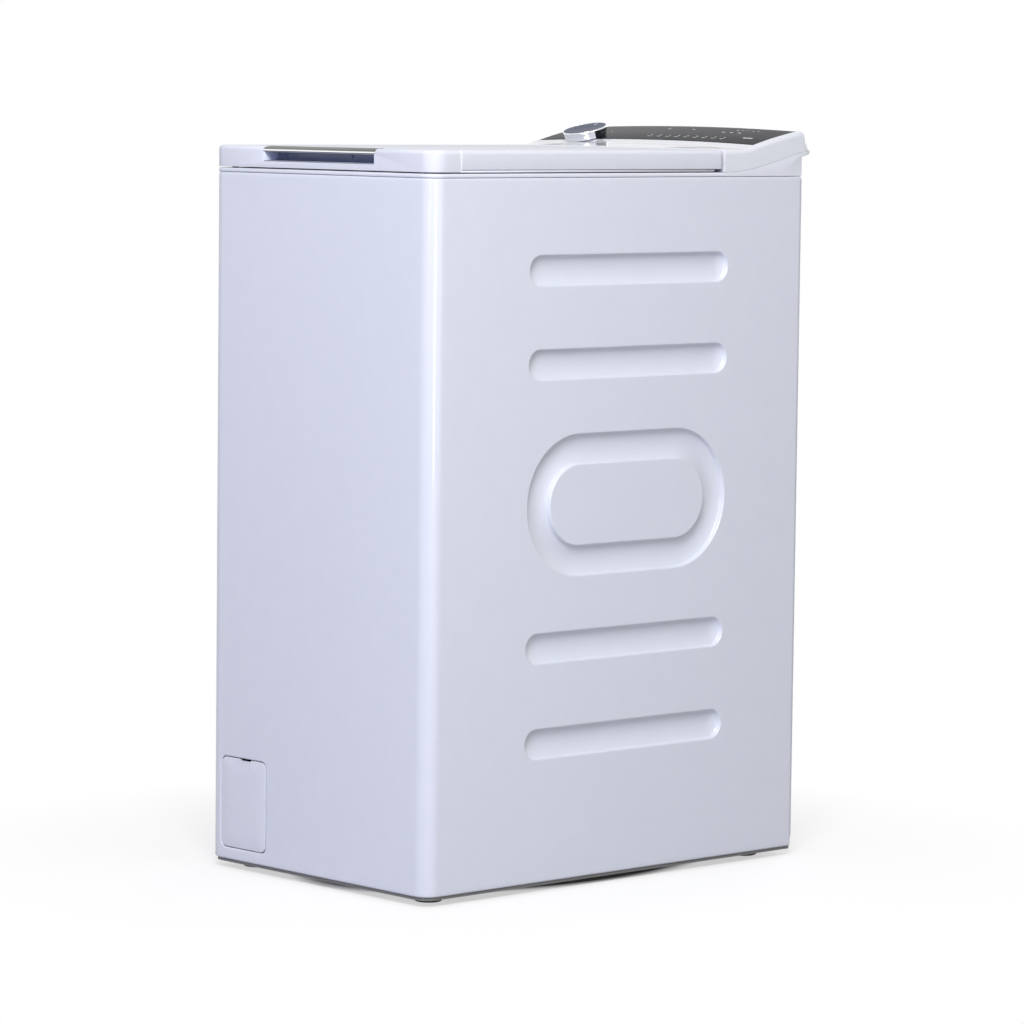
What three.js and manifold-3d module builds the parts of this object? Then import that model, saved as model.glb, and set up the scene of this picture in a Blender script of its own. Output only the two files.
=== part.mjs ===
// Slim top load washing machine with a horizontal drum axis, built piece by piece in millimetres.
// Frame while modelling: X to the right seen from the front, Y from the front face to the rear, Z up from
// the floor. The finished group is moved so that its origin is the centre of its footprint.
import * as THREE from 'three';
import { mergeVertices } from 'three/addons/utils/BufferGeometryUtils.js';
import Module from 'manifold-3d';

const wasm = await Module();
wasm.setup();

// ---------------------------------------------------------------- driving dimensions
const fitGap = 0.3;                 // between pieces that seat on each other
const proud = 0.5;                  // cutters start this far outside a face

// Cabinet
const cabinetWidth = 400;
const cabinetDepth = 612;           // front face to the rear panel's outer face
const cabinetBottom = 12;
const cabinetTop = 848;
const cornerRadius = 20;            // vertical front corners
const sheet = 1.2;                  // painted steel sheet
const flange = 17;                  // folded edges of the cabinet sheet
const rearSheet = 1;

// Stamped side grooves
const grooveCentreY = 319;
const grooveLength = 327;
const grooveHeight = 35;
const grooveDepth = 7;
const grooveRunIn = 12;             // from a groove's edge to its flat floor
const ovalCentreZ = 460;
const ovalHeight = 168;
const grooveOffsets = [-282, -168, 168, 279];   // heights of the plain grooves from the oval

// Rear panel and what passes through it
const rearPanelBottom = 22;
const beadHeight = 16;
const beadDepth = 4;
const beadMargin = 70;              // from the panel's sides to a bead's ends
const lowBeadZ = 200;
const highBeadDrop = 158;           // upper bead below the cabinet's top
const serviceX = -30;
const serviceHalfWidth = 105;
const serviceBottom = 250;
const serviceHeight = 310;
const serviceCorner = 15;
const coverLap = 12;
const coverDome = 5;
const valveInset = 80;              // inlet valve's axis from the right side
const valveDrop = 73;               // and below the cabinet's top
const valveRadius = 13;
const valveWall = 3;
const inletReach = 10;              // end of the inlet behind the rear panel
const glandInset = 60;              // cable gland's axis from the left side
const glandDrop = 58;
const glandRadius = 8;
const cableRadius = 4;
const outletInset = 70;             // drain outlet's axis from the right side
const outletZ = 120;
const outletRadius = 13;
const outletReach = 11;

// Base and feet
const plinthBottom = 8;
const plinthInset = 3;
const baseRimTop = 26;
const bossTop = 36;                 // bosses the feet screw into
const baseWall = 3;
const baseRibTop = 24;
const footRadius = 17;
const footPad = 7;
const footInset = 42;               // foot axis from the cabinet's faces
const studRadius = 4;
const bossRadius = 12;

// Top frame and loading mouth
const frameBand = 5;                // height of the frame's band above the cabinet
const frameWall = 3;
const spigotDepth = 16;             // part of the frame inside the cabinet's top
const mouthFront = 113;
const mouthRearMargin = 39;         // from the mouth to the console
const mouthCorner = 26;
const lockWidth = 52;
const lockDepth = 36;
const lockMargin = 15;              // from the lid lock to the mouth

// Lid
const lidRise = 27.5;               // lid's top above the top frame
const lidGap = 4;                   // from the lid's rear edge to the console
const lidFrontGap = 1.5;            // from the top frame to the lid's front edge
const lidSideGap = 4.5;             // from the top frame to the lid's side edges
const lidStepY = 45;                // the front part of the skirt hangs lower up to here
const lidWall = 2.8;
const lidEdgeRadius = 5;
const sideProud = 0.8;              // side panels stand proud of the front moulding
const hingeSetback = 7.5;           // hinge axis from the lid's rear edge
const hingeDrop = 8;                // hinge axis below the lid's top
const hingePinRadius = 2;
const hingeInset = 48;              // middle of each hinge from the cabinet's side
const lugHalf = 4;
const lugRadius = 4.1;
const cheekGap = 0.4;               // from a lug to the lid's cheeks beside it
const cheekThickness = 3;
const bufferRadius = 3.4;
const linerWall = 2.5;
const linerCorner = 14;
const rimWidth = 5.5;

// Handle
const handleLength = 204;
const handleOffset = -3;            // handle's middle from the middle of the front
const handleDrop = 18.5;            // lower edge of the opening below the lid's top
const trimDrop = 5.5;               // seat of the metal trim below the lid's top
const handleDepth = 24;
const handleWall = 1.8;
const trimTopDepth = 15;
const endSlant = 12;

// Dispenser under the lid
const dispenserMargin = 22;         // from the tub's neck to the dispenser, on each side
const dispenserSetback = 37;        // from the mouth to the dispenser, at its front and rear
const dispenserDrop = 44;
const dispenserWall = 10;
const dispenserRearWall = 30;
const dispenserCorner = 12;
const middleCellWidth = 74;
const partition = 5;

// Console
const consoleDepth = 136;           // console's front edge to the rear panel
const consoleOverhang = 12.6;       // rear lip behind the rear panel
const consoleBackMargin = 10.6;     // from the rear lip to the end of the top
const consoleWall = 3;
const consoleStep = 0.1;            // console's front edge below the lid's top
const consoleRise = 22.2;           // rise of the top from its front to its end
const consoleCrown = 4.2;           // rise of the top between its sides and its middle
const shoulder = 6;                 // rounded edge along each side
const cheekRise = 26.4;             // rise of the seam between frame and console
const rearLipDrop = 31.1;           // lower edge of the rear lip below the console's highest line
const glassSetback = 56;            // from the console's front edge to the glass
const glassRearMargin = 5;
const glassMargin = 8;              // from the console's sides to the glass
const glassThickness = 2.4;
const knobRadius = 28.5;
const knobHeight = 13.5;
const knobInset = 90;               // dial's axis from the cabinet's left side
const knobSetback = 6;              // dial's axis behind the glass's front edge
const spindleRadius = 3;
const boardLift = 6;                // control board above the top frame
const boardThickness = 1.6;

// Tub and drum
const axisZ = 430;
const tubClearance = 25;            // from the tub to the cabinet's front face
const tubSideClearance = 38;        // from the tub's end walls to the cabinet's sides
const tubWall = 3;
const seamRim = 6;
const ribCount = 6;
const neckRise = 20;                // neck above the tub's round part
const neckSetback = 22;             // neck's sides from the tub's end walls
const drumClearance = 22;           // between drum and tub
const drumEndClearance = 16;
const drumSheet = 1.2;
const dishWidth = 106;              // sloping ring of a drum end
const dishDepth = 10;
const holeRows = 5;
const hatchAngle = 26;              // degrees from the top to each end of the hatch
const hatchMargin = 34;             // from the hatch to the drum's ends
const hatchPlay = 0.5;
const curlRadius = 3.2;
const buttonAngle = 5;              // degrees from the top to the release button
const buttonLength = 26;
const buttonWidth = 18;
const lifterHeight = 34;
const shaftRadius = 12;
const flangeRadius = 46;
const bearingRadius = 26;
const bearingWidth = 14;
const hubRadius = 34;
const hubProud = 10;                // tub hubs beyond the end walls
const heaterLift = 11;              // heater above the tub's lowest line
const heaterHalf = 26;
const heaterRod = 3.5;
const bellowsWall = 3;
const bellowsLip = 3;               // bellows' top edge beyond its neck, all round

// Counterweights, springs and dampers
const weightGap = 16;               // from the front weight to the cabinet's front face
const rearWeightGap = 56;
const weightMargin = 50;            // from the weights to the tub's end walls
const weightFoot = 130;             // weights' lower edge above the drum's axis
const springSeat = 174;             // tub ears above the drum's axis
const springOut = 21.5;             // spring axis from the tub at that height
const springRadius = 9;
const springWire = 1.4;
const coilLength = 84;
const coilTurns = 4;
const earThickness = 12;
const damperRadius = 15;
const damperEar = 6;
const damperPin = 4;
const damperFootZ = 34;
const frontDamper = { inset: 102, footMargin: 62, angle: -121.8, reach: 12.2 };
const rearDamper = { inset: 72, footMargin: 52, angle: -55.8, reach: 22 };

// Drive
const beltWidth = 10;
const beltThickness = 3;
const beltGap = 0.8;
const pulleyGap = 8;                // from the left hub to the belt's middle
const drumPulleyRadius = 110;
const motorPulleyRadius = 10;
const motorAngle = -63.9;           // degrees from the rear, about the drum's axis
const motorGap = 41.5;              // from the tub to the motor
const motorRadius = 56;
const motorWall = 3;
const motorLength = 170;
const motorShaft = 6;
const hangerWidth = 14;

// Filter flap, filter cap and drain pump
const flapInset = 24.5;             // from the cabinet's left side to the flap
const flapWidth = 83;
const flapBottom = 27.5;
const flapHeight = 110;
const flapCorner = 9;
const flapThickness = 2.4;
const flapGap = 0.8;
const flapPivotY = 3.4;
const flapPivotRadius = 2.2;
const capZ = 82;
const capRadius = 27;
const capFace = 14;
const pumpFront = 30;
const pumpLength = 102;
const hoseRadius = 14;
const sumpRadius = 18;
const sumpSetback = 70;             // sump's spout in front of the drum's axis
const sumpInset = 94;               // sump's spout to the right of the filter cap

// ---------------------------------------------------------------- places that follow from them
const halfWidth = cabinetWidth / 2;
const wrapRear = cabinetDepth - rearSheet - fitGap;
const rearInner = cabinetDepth - rearSheet;
const serviceTop = serviceBottom + serviceHeight;
const valveX = halfWidth - valveInset;
const valveZ = cabinetTop - valveDrop;
const glandX = -halfWidth + glandInset;
const glandZ = cabinetTop - glandDrop;
const outletX = halfWidth - outletInset;

const frameTop = cabinetTop + frameBand;
const consoleFront = cabinetDepth - consoleDepth;
const consoleRear = cabinetDepth + consoleOverhang;
const consoleBack = consoleRear - consoleBackMargin;
const glassFront = consoleFront + glassSetback;
const glassRear = cabinetDepth - glassRearMargin;
const glassHalfWidth = halfWidth - glassMargin;
const knobX = -halfWidth + knobInset;
const knobY = glassFront + knobSetback;

const lidRear = consoleFront - lidGap;
const lidTop = frameTop + lidRise;
const lidFrontBottom = frameTop + lidFrontGap;
const lidSideBottom = frameTop + lidSideGap;
const hingeY = lidRear - hingeSetback;
const hingeZ = lidTop - hingeDrop;
const hingeX = halfWidth - hingeInset;
const handleLeft = handleOffset - handleLength / 2;
const handleRight = handleOffset + handleLength / 2;
const handleBottom = lidTop - handleDrop;
const handleTopZ = lidTop - trimDrop;

const spigotInset = flange + 2 * fitGap;
const mouthRear = consoleFront - mouthRearMargin;
const axisY = (mouthFront + mouthRear) / 2;
const tubRadius = axisY - tubClearance;
const tubHalfWidth = halfWidth - tubSideClearance;
const neckTop = axisZ + tubRadius + neckRise;
const neckHalfDepth = mouthRear - axisY + 1;
const neckHalfWidth = tubHalfWidth - neckSetback;
const mouthHalfWidth = neckHalfWidth + 2;
const drumRadius = tubRadius - drumClearance;
const drumHalfWidth = tubHalfWidth - drumEndClearance;
const hatchHalfWidth = drumHalfWidth - hatchMargin;
const hubFace = tubHalfWidth + hubProud;
const pulleyX = -(hubFace + pulleyGap);

const toRadians = (degrees) => degrees * Math.PI / 180;

// A point (y, z) outside the tub: degrees from the rear about the drum's axis, and distance from the tub
function roundTub(angle, out) {
  const reach = tubRadius + out;
  return [axisY + reach * Math.cos(toRadians(angle)), axisZ + reach * Math.sin(toRadians(angle))];
}

const [motorY, motorZ] = roundTub(motorAngle, motorGap + motorRadius);
const motorLeft = -halfWidth + 50;
const motorRight = motorLeft + motorLength;

const flapLeft = -halfWidth + flapInset;
const flapRight = flapLeft + flapWidth;
const flapTop = flapBottom + flapHeight;
const capX = (flapLeft + flapRight) / 2;
const pumpRear = pumpFront + pumpLength;

// ---------------------------------------------------------------- solids from three.js geometry
const fine = 8;                     // segments in a quarter turn of large round forms
const coarse = 3;                   // segments in a quarter turn of small ones
const bigRound = 4 * fine;
const midRound = 12;
const tubSegments = 11;             // half of the segments round the tub
const smallRound = 8;               // segments of pins, buttons and bosses
const quarter = Math.PI / 2;

// Radius of a faceted bore in which a faceted pin of the given radius turns freely
const roundClear = (radius, segments) => (radius + fitGap) / Math.cos(Math.PI / segments);

function solidOf(geometry) {
  const bare = geometry.clone();
  for (const name of Object.keys(bare.attributes)) {
    if (name !== 'position') bare.deleteAttribute(name);
  }
  const merged = mergeVertices(bare, 1e-4);
  const vertProperties = new Float32Array(merged.attributes.position.array);
  const corners = merged.index.array;
  const triangles = [];
  let volume = 0;
  const corner = (i) => new THREE.Vector3().fromArray(vertProperties, 3 * i);
  for (let t = 0; t < corners.length; t += 3) {
    const [a, b, c] = [corners[t], corners[t + 1], corners[t + 2]];
    if (a === b || b === c || c === a) continue;
    triangles.push(a, b, c);
    volume += corner(a).dot(corner(b).cross(corner(c)));
  }
  if (volume < 0) triangles.reverse();
  return new wasm.Manifold(new wasm.Mesh({ numProp: 3, vertProperties, triVerts: new Uint32Array(triangles) }));
}

const join = (...solids) => solids.reduce((whole, next) => whole.add(next));
const cut = (base, ...tools) => tools.reduce((whole, tool) => whole.subtract(tool), base);

// A closed outline pushed along one axis. Its points are (y, z) along X, (x, z) along Y and (x, y) along Z.
function prism(axis, outline, from, to, curveSegments = fine) {
  const shape = outline instanceof THREE.Shape ? outline : new THREE.Shape(outline);
  const options = { depth: to - from, bevelEnabled: false, curveSegments };
  const geometry = new THREE.ExtrudeGeometry(shape, options);
  if (axis === 'x') {
    const turn = new THREE.Matrix4().set(0, 0, 1, from, 1, 0, 0, 0, 0, 1, 0, 0, 0, 0, 0, 1);
    geometry.applyMatrix4(turn);
  }
  if (axis === 'y') geometry.rotateX(quarter).translate(0, to, 0);
  if (axis === 'z') geometry.translate(0, 0, from);
  return solidOf(geometry);
}

// A turned form: profile points are (radius, distance along the axis); centre gives the other two values.
function turned(axis, profile, centre, segments = 4 * coarse) {
  const points = profile.map(([radius, along]) => new THREE.Vector2(radius, along));
  if (points[0].x > 0) points.push(points[0].clone());
  const geometry = new THREE.LatheGeometry(points, segments);
  if (axis === 'x') geometry.rotateZ(-quarter).translate(0, centre[0], centre[1]);
  if (axis === 'y') geometry.translate(centre[0], 0, centre[1]);
  if (axis === 'z') geometry.rotateX(quarter).translate(centre[0], centre[1], 0);
  return solidOf(geometry);
}

function rod(axis, centre, radius, from, to, segments = 4 * coarse) {
  return turned(axis, [[0, from], [radius, from], [radius, to], [0, to]], centre, segments);
}

function tube(axis, centre, outer, inner, from, to, segments = 4 * coarse) {
  return turned(axis, [[inner, from], [outer, from], [outer, to], [inner, to]], centre, segments);
}

function block(x0, x1, y0, y1, z0, z1) {
  const geometry = new THREE.BoxGeometry(x1 - x0, y1 - y0, z1 - z0);
  geometry.translate((x0 + x1) / 2, (y0 + y1) / 2, (z0 + z1) / 2);
  return solidOf(geometry);
}

// A skin over rings of equal point counts, closed by a flat fan on the first and the last.
function loft(rings) {
  const count = rings[0].length;
  const index = [];
  for (let r = 0; r + 1 < rings.length; r++) {
    for (let i = 0; i < count; i++) {
      const a = r * count + i;
      const b = r * count + (i + 1) % count;
      index.push(a, b, b + count, a, b + count, a + count);
    }
  }
  const last = (rings.length - 1) * count;
  for (let i = 1; i + 1 < count; i++) {
    index.push(0, i + 1, i);
    index.push(last, last + i, last + i + 1);
  }
  const geometry = new THREE.BufferGeometry().setFromPoints(rings.flat());
  geometry.setIndex(index);
  return solidOf(geometry);
}

// Rounded rectangle as points, anticlockwise; radii start at the low-low corner, and 0 is a sharp one.
function roundedOutline(x0, x1, y0, y1, radii, steps = coarse) {
  const [r0, r1, r2, r3] = Array.isArray(radii) ? radii : [radii, radii, radii, radii];
  const centres = [[x0 + r0, y0 + r0, r0], [x1 - r1, y0 + r1, r1], [x1 - r2, y1 - r2, r2], [x0 + r3, y1 - r3, r3]];
  return centres.flatMap(([cx, cy, r], k) => Array.from({ length: r > 0 ? steps + 1 : 1 }, (_, i) => {
    const angle = (k + 2 + i / steps) * quarter;
    return new THREE.Vector2(cx + r * Math.cos(angle), cy + r * Math.sin(angle));
  }));
}

// A slot with round ends, as points about the origin
function stadium(halfLength, halfHeight, steps) {
  const end = (turn) => Array.from({ length: 2 * steps + 1 }, (_, i) => {
    const angle = turn + quarter * (i / steps - 1);
    return new THREE.Vector2(Math.sign(Math.cos(turn)) * (halfLength - halfHeight) + halfHeight * Math.cos(angle),
      halfHeight * Math.sin(angle));
  });
  return [...end(0), ...end(Math.PI)];
}

const level = (outline, z) => outline.map((p) => new THREE.Vector3(p.x, p.y, z));

// A pipe or wire of even thickness along a curve.
function pipe(curve, radius, sides, steps) {
  const section = new THREE.Shape();
  section.absarc(0, 0, radius, 0, 2 * Math.PI);
  const outline = new THREE.Shape(section.getSpacedPoints(sides).slice(0, sides));
  return solidOf(new THREE.ExtrudeGeometry(outline, { steps, extrudePath: curve, bevelEnabled: false }));
}

const through = (...points) => new THREE.CatmullRomCurve3(points.map((p) => new THREE.Vector3(...p)));

// ---------------------------------------------------------------- materials and placing
const finish = (color, roughness, metalness = 0) =>
  new THREE.MeshStandardMaterial({ color, roughness, metalness, flatShading: true });
const whitePaint = finish(0xe4e6f2, 0.35);
const whitePlastic = finish(0xeceef5, 0.4);
const greyPlastic = finish(0x8f9298, 0.6);
const darkPlastic = finish(0x33353b, 0.5);
const tubPlastic = finish(0xc9ccd0, 0.6);
const darkGlass = finish(0x1d2026, 0.08);
const chrome = finish(0xd5d8dd, 0.12, 1);
const brushed = finish(0xb4b6b4, 0.32, 1);
const steel = finish(0xc4c6c9, 0.3, 1);
const zinc = finish(0xa9acae, 0.5, 0.9);
const rubber = finish(0x4b4d50, 0.85);
const concrete = finish(0x9c9a94, 0.95);
const castAluminium = finish(0xb9bcbf, 0.45, 0.8);
const boardGreen = finish(0x2d6b45, 0.6);

const washer = new THREE.Group();

function place(name, solid, material) {
  const made = solid.getMesh();
  const geometry = new THREE.BufferGeometry();
  geometry.setAttribute('position', new THREE.BufferAttribute(new Float32Array(made.vertProperties), 3));
  geometry.setIndex(new THREE.BufferAttribute(new Uint32Array(made.triVerts), 1));
  const mesh = new THREE.Mesh(geometry, material);
  mesh.name = name;
  washer.add(mesh);
}

// ---------------------------------------------------------------- cabinet
function cabinetOutline(inset, rear) {
  const front = Math.max(cornerRadius - inset, 1);
  return roundedOutline(-halfWidth + inset, halfWidth - inset, inset, rear, [front, front, 0, 0]);
}

// A stadium standing on a side face: depth runs inwards from the face, grow makes it larger all round.
function sideStadium(side, depth, centreZ, length, height, grow) {
  const steps = height > 2 * grooveHeight ? 4 : 2;
  const outline = stadium(length / 2 + grow, height / 2 + grow, steps);
  return outline.map((p) => new THREE.Vector3(side * (halfWidth - depth), grooveCentreY + p.x, centreZ + p.y));
}

const grooveSteps = [[0, 0], [0.35, 0.72], [1, 1]];                // share of run-in, share of depth

function grooveCutter(side, centreZ, length, height, direction) {
  const rings = [sideStadium(side, -proud, centreZ, length, height, 0)];
  for (const [run, depth] of grooveSteps) {
    rings.push(sideStadium(side, depth * grooveDepth, centreZ, length, height, direction * run * grooveRunIn));
  }
  return rings;
}

function grooveBacking(side, centreZ, length, height, direction) {
  const rings = [sideStadium(side, sheet / 2, centreZ, length, height, -direction * sheet)];
  for (const [run, depth] of grooveSteps.slice(1)) {
    const grow = direction * (run * grooveRunIn - sheet);
    rings.push(sideStadium(side, depth * grooveDepth + sheet, centreZ, length, height, grow));
  }
  return rings;
}

function beyond(rings, side, extra) {
  const last = rings[rings.length - 1].map((p) => p.clone().setX(p.x - side * extra));
  return [...rings, last];
}

function stampGrooves(shell, side) {
  let stamped = shell;
  for (const offset of grooveOffsets) {
    const shape = [side, ovalCentreZ + offset, grooveLength, grooveHeight, -1];
    stamped = stamped.add(loft(grooveBacking(...shape))).subtract(loft(grooveCutter(...shape)));
  }
  const outer = [side, ovalCentreZ, grooveLength, ovalHeight, -1];
  const island = [side, ovalCentreZ, grooveLength - 2 * grooveHeight, ovalHeight - 2 * grooveHeight, 1];
  const hollow = loft(beyond(grooveBacking(...island), side, 2));
  const backing = loft(grooveBacking(...outer)).subtract(hollow);
  const cutter = loft(grooveCutter(...outer)).subtract(loft(beyond(grooveCutter(...island), side, 2)));
  return stamped.add(backing).subtract(cutter);
}

const wrapWall = cut(
  prism('z', cabinetOutline(0, wrapRear), cabinetBottom, cabinetTop),
  prism('z', cabinetOutline(sheet, wrapRear + 1), cabinetBottom - 1, cabinetTop + 1),
);
const openRear = wrapRear - cornerRadius;
const foldedEdge = (z) => cut(
  prism('z', cabinetOutline(sheet / 2, openRear), z, z + sheet),
  prism('z', cabinetOutline(flange, openRear + 1), z - 1, z + sheet + 1),
);
const rearEdge = (side) => block(
  Math.min(side * (halfWidth - sheet / 2), side * (halfWidth - flange)),
  Math.max(side * (halfWidth - sheet / 2), side * (halfWidth - flange)),
  wrapRear - sheet, wrapRear, cabinetBottom, cabinetTop,
);
const flapOpening = prism('y', roundedOutline(flapLeft - flapGap, flapRight + flapGap, flapBottom - flapGap,
  flapTop + flapGap, flapCorner), -1, sheet + 1);
let wrap = join(wrapWall, foldedEdge(cabinetBottom), foldedEdge(cabinetTop - sheet), rearEdge(-1), rearEdge(1));
wrap = stampGrooves(stampGrooves(wrap, 1), -1);
place('cabinet_wrap', wrap.subtract(flapOpening), whitePaint);

// Rear panel: flat sheet with two pressed beads, a service opening and holes for what comes out
function rearStadium(y, centreZ, grow) {
  return stadium(halfWidth - beadMargin + grow, beadHeight / 2 + grow, 2)
    .map((p) => new THREE.Vector3(p.x, y, centreZ + p.y));
}

const rearBead = (centreZ) => [
  loft([rearStadium(rearInner + rearSheet / 2, centreZ, 0.6), rearStadium(rearInner - beadDepth, centreZ, -3)]),
  loft([rearStadium(cabinetDepth + proud, centreZ, 0), rearStadium(rearInner - beadDepth + rearSheet, centreZ, -4)]),
];
let rearPanel = prism('y', roundedOutline(-halfWidth + 1, halfWidth - 1, rearPanelBottom, cabinetTop - 1, 4, 2),
  rearInner, cabinetDepth);
for (const z of [cabinetTop - highBeadDrop, lowBeadZ]) {
  const [backing, bead] = rearBead(z);
  rearPanel = rearPanel.add(backing).subtract(bead);
}
rearPanel = cut(
  rearPanel,
  prism('y', roundedOutline(serviceX - serviceHalfWidth, serviceX + serviceHalfWidth, serviceBottom, serviceTop,
    serviceCorner), rearInner - 1, cabinetDepth + 1),
  rod('y', [valveX, valveZ], valveRadius + fitGap, rearInner - 1, cabinetDepth + 1),
  rod('y', [glandX, glandZ], glandRadius + fitGap, rearInner - 1, cabinetDepth + 1),
  rod('y', [outletX, outletZ], outletRadius + fitGap, rearInner - 1, cabinetDepth + 1),
);
place('rear_panel', rearPanel, whitePaint);

// Service cover: lapped over the opening and domed outwards
const coverFace = cabinetDepth + fitGap;
const coverRing = (y, grow) => roundedOutline(serviceX - serviceHalfWidth - grow, serviceX + serviceHalfWidth + grow,
  serviceBottom - grow, serviceTop + grow, serviceCorner).map((p) => new THREE.Vector3(p.x, y, p.y));
place('service_cover', cut(
  join(
    loft([coverRing(coverFace, coverLap), coverRing(coverFace + rearSheet, coverLap)]),
    loft([coverRing(coverFace + rearSheet / 2, -6), coverRing(coverFace + coverDome, -16)]),
  ),
  loft([coverRing(coverFace - 1, -5), coverRing(coverFace + coverDome - rearSheet, -17)]),
), whitePaint);

// ---------------------------------------------------------------- base pan and feet
const plinthOutline = (inset) => cabinetOutline(inset, rearInner - fitGap - (inset - plinthInset));
const rimInset = spigotInset;
const footPlaces = [
  ['foot_front_left', -halfWidth + footInset, footInset],
  ['foot_front_right', halfWidth - footInset, footInset],
  ['foot_rear_left', -halfWidth + footInset, cabinetDepth - footInset],
  ['foot_rear_right', halfWidth - footInset, cabinetDepth - footInset],
];
const plinthTop = cabinetBottom - fitGap;
let basePan = cut(
  join(
    prism('z', plinthOutline(plinthInset), plinthBottom, plinthTop),
    prism('z', plinthOutline(rimInset), plinthTop - 1, baseRimTop),
  ),
  prism('z', plinthOutline(rimInset + baseWall), plinthBottom + baseWall, baseRimTop + 1),
);
for (const [, x, y] of footPlaces) {
  basePan = basePan.add(rod('z', [x, y], bossRadius, plinthBottom + 1, bossTop, smallRound));
  basePan = basePan.subtract(rod('z', [x, y], studRadius + fitGap, plinthBottom - 1, bossTop + 1, smallRound));
}
const baseRibs = [150, 300, cabinetDepth - 112];
for (const y of baseRibs) {
  basePan = basePan.add(block(-halfWidth + rimInset, halfWidth - rimInset, y, y + baseWall, plinthBottom + 1,
    baseRibTop));
}
// window in the floor between two ribs, beside the pump
const windowMargin = 30;
basePan = basePan.subtract(block(capX + capRadius + windowMargin, halfWidth - 3 * windowMargin,
  baseRibs[0] + windowMargin, baseRibs[1] - baseWall - 7, plinthBottom - 1, plinthBottom + baseWall + 1));

// Damper seats: an upright ear each side of a damper's lower eye
const dampers = [
  {
    name: 'front',
    x: tubHalfWidth - frontDamper.inset,
    low: [frontDamper.footMargin, damperFootZ],
    high: roundTub(frontDamper.angle, frontDamper.reach),
  },
  {
    name: 'rear',
    x: tubHalfWidth - rearDamper.inset,
    low: [cabinetDepth - rearDamper.footMargin, damperFootZ],
    high: roundTub(rearDamper.angle, rearDamper.reach),
  },
];
for (const { x, low } of dampers) {
  const earX = damperPin + 6;
  for (const side of [-1, 1]) {
    const from = side < 0 ? x - earX - damperEar : x + earX;
    basePan = basePan.add(prism('x', roundedOutline(low[0] - 12, low[0] + 12, plinthBottom + 1, low[1] + 11, 6, 2),
      from, from + damperEar));
  }
  basePan = basePan.add(rod('x', low, damperPin, x - earX - 1, x + earX + 1, 12));
}
place('base_pan', basePan, greyPlastic);

for (const [name, x, y] of footPlaces) {
  const pad = turned('z', [
    [0, 0], [footRadius - 2, 0], [footRadius, 2], [footRadius, footPad - 2], [footRadius - 6, footPad],
    [studRadius, footPad], [studRadius, bossTop - 4], [0, bossTop - 4],
  ], [x, y], smallRound);
  place(name, pad, darkPlastic);
}

// ---------------------------------------------------------------- tub, drum and drive
const tubCentre = [axisY, axisZ];

// Section of the tub: a circle with a straight-sided neck on top, inset all round
function tubSection(inset) {
  const radius = tubRadius - inset;
  const half = neckHalfDepth - inset;
  const start = Math.acos(half / radius);
  const shape = new THREE.Shape();
  shape.moveTo(axisY + half, neckTop + (inset > 0 ? 1 : 0));
  shape.lineTo(axisY - half, neckTop + (inset > 0 ? 1 : 0));
  shape.absarc(axisY, axisZ, radius, Math.PI - start, 2 * Math.PI + start, false);
  return shape;
}

const springX = halfWidth - spigotInset - frameWall - springWire - fitGap;
const springLow = axisZ + springSeat;
const springReach = Math.sqrt(tubRadius ** 2 - springSeat ** 2) + springOut;
const springPlaces = [['front', axisY - springReach], ['rear', axisY + springReach]];

// One half of the tub. extras are lugs moulded on it, cut back to its inner wall.
function tubHalf(side, extras) {
  const toX = (a, b) => (side > 0 ? [a, b] : [-b, -a]);
  const half = (section, from, to) => prism('x', section, ...toX(from, to), tubSegments);
  const stepFrom = axisZ + tubRadius - 8;       // the neck is narrower than the tub and steps in here
  const above = (x, z) => block(...toX(x, tubHalfWidth + 1), axisY - tubRadius, axisY + tubRadius, z, neckTop + 1);
  const outer = half(tubSection(0), fitGap / 2, tubHalfWidth).add(half(tubSection(-seamRim), fitGap / 2, 5));
  const cavity = half(tubSection(tubWall), -1, tubHalfWidth - tubWall)
    .subtract(above(neckHalfWidth - tubWall, stepFrom - tubWall));
  const ribs = [];
  for (let k = 0; k < ribCount; k++) {
    const rib = new THREE.BoxGeometry(8, 3.4, tubRadius - hubRadius - 24);
    rib.translate(0, 0, (tubRadius + hubRadius - 30) / 2);
    rib.rotateX((k + 0.5) * 2 * Math.PI / ribCount);
    rib.translate(side * (tubHalfWidth + 1), axisY, axisZ);
    ribs.push(solidOf(rib));
  }
  const ears = springPlaces.map(([, y]) => {
    const [from, to] = toX(tubHalfWidth - 20, springX + springRadius + 3);
    const [near, far] = y < axisY ? [y - 8, y + 46] : [y - 46, y + 8];
    return block(from, to, near, far, springLow - earThickness, springLow)
      .subtract(rod('z', [side * springX, y], 2.6, springLow - earThickness - 1, springLow + 1, 8));
  });
  const shell = cut(join(outer, ...ribs, ...ears, ...extras), above(neckHalfWidth, stepFrom), cavity,
    block(-tubRadius, tubRadius, axisY - tubRadius, axisY + tubRadius, neckTop, neckTop + 20));
  return cut(
    shell.add(rod('x', tubCentre, hubRadius, ...toX(tubHalfWidth - 12, hubFace), bigRound / 2)),
    rod('x', tubCentre, bearingRadius + fitGap, ...toX(hubFace - bearingWidth - 2, hubFace + 1), midRound),
    rod('x', tubCentre, shaftRadius + 2, ...toX(tubHalfWidth - 30, hubFace + 1), midRound),
  );
}

// Eyes for the dampers on the right half: a lug towards the tub's axis with a pin across it
function damperLug({ x, high: [y, z] }) {
  const towards = new THREE.Vector2(axisY - y, axisZ - z).normalize();
  const across = new THREE.Vector2(-towards.y, towards.x).multiplyScalar(9);
  const tip = new THREE.Vector2(y, z).addScaledVector(towards, -8);
  const root = new THREE.Vector2(y, z).addScaledVector(towards, 40);
  const outline = [tip.clone().add(across), tip.clone().sub(across), root.clone().sub(across),
    root.clone().add(across)];
  return join(prism('x', outline, x + 10, x + 16), rod('x', [y, z], damperPin, x - 8, x + 12, smallRound));
}

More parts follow.
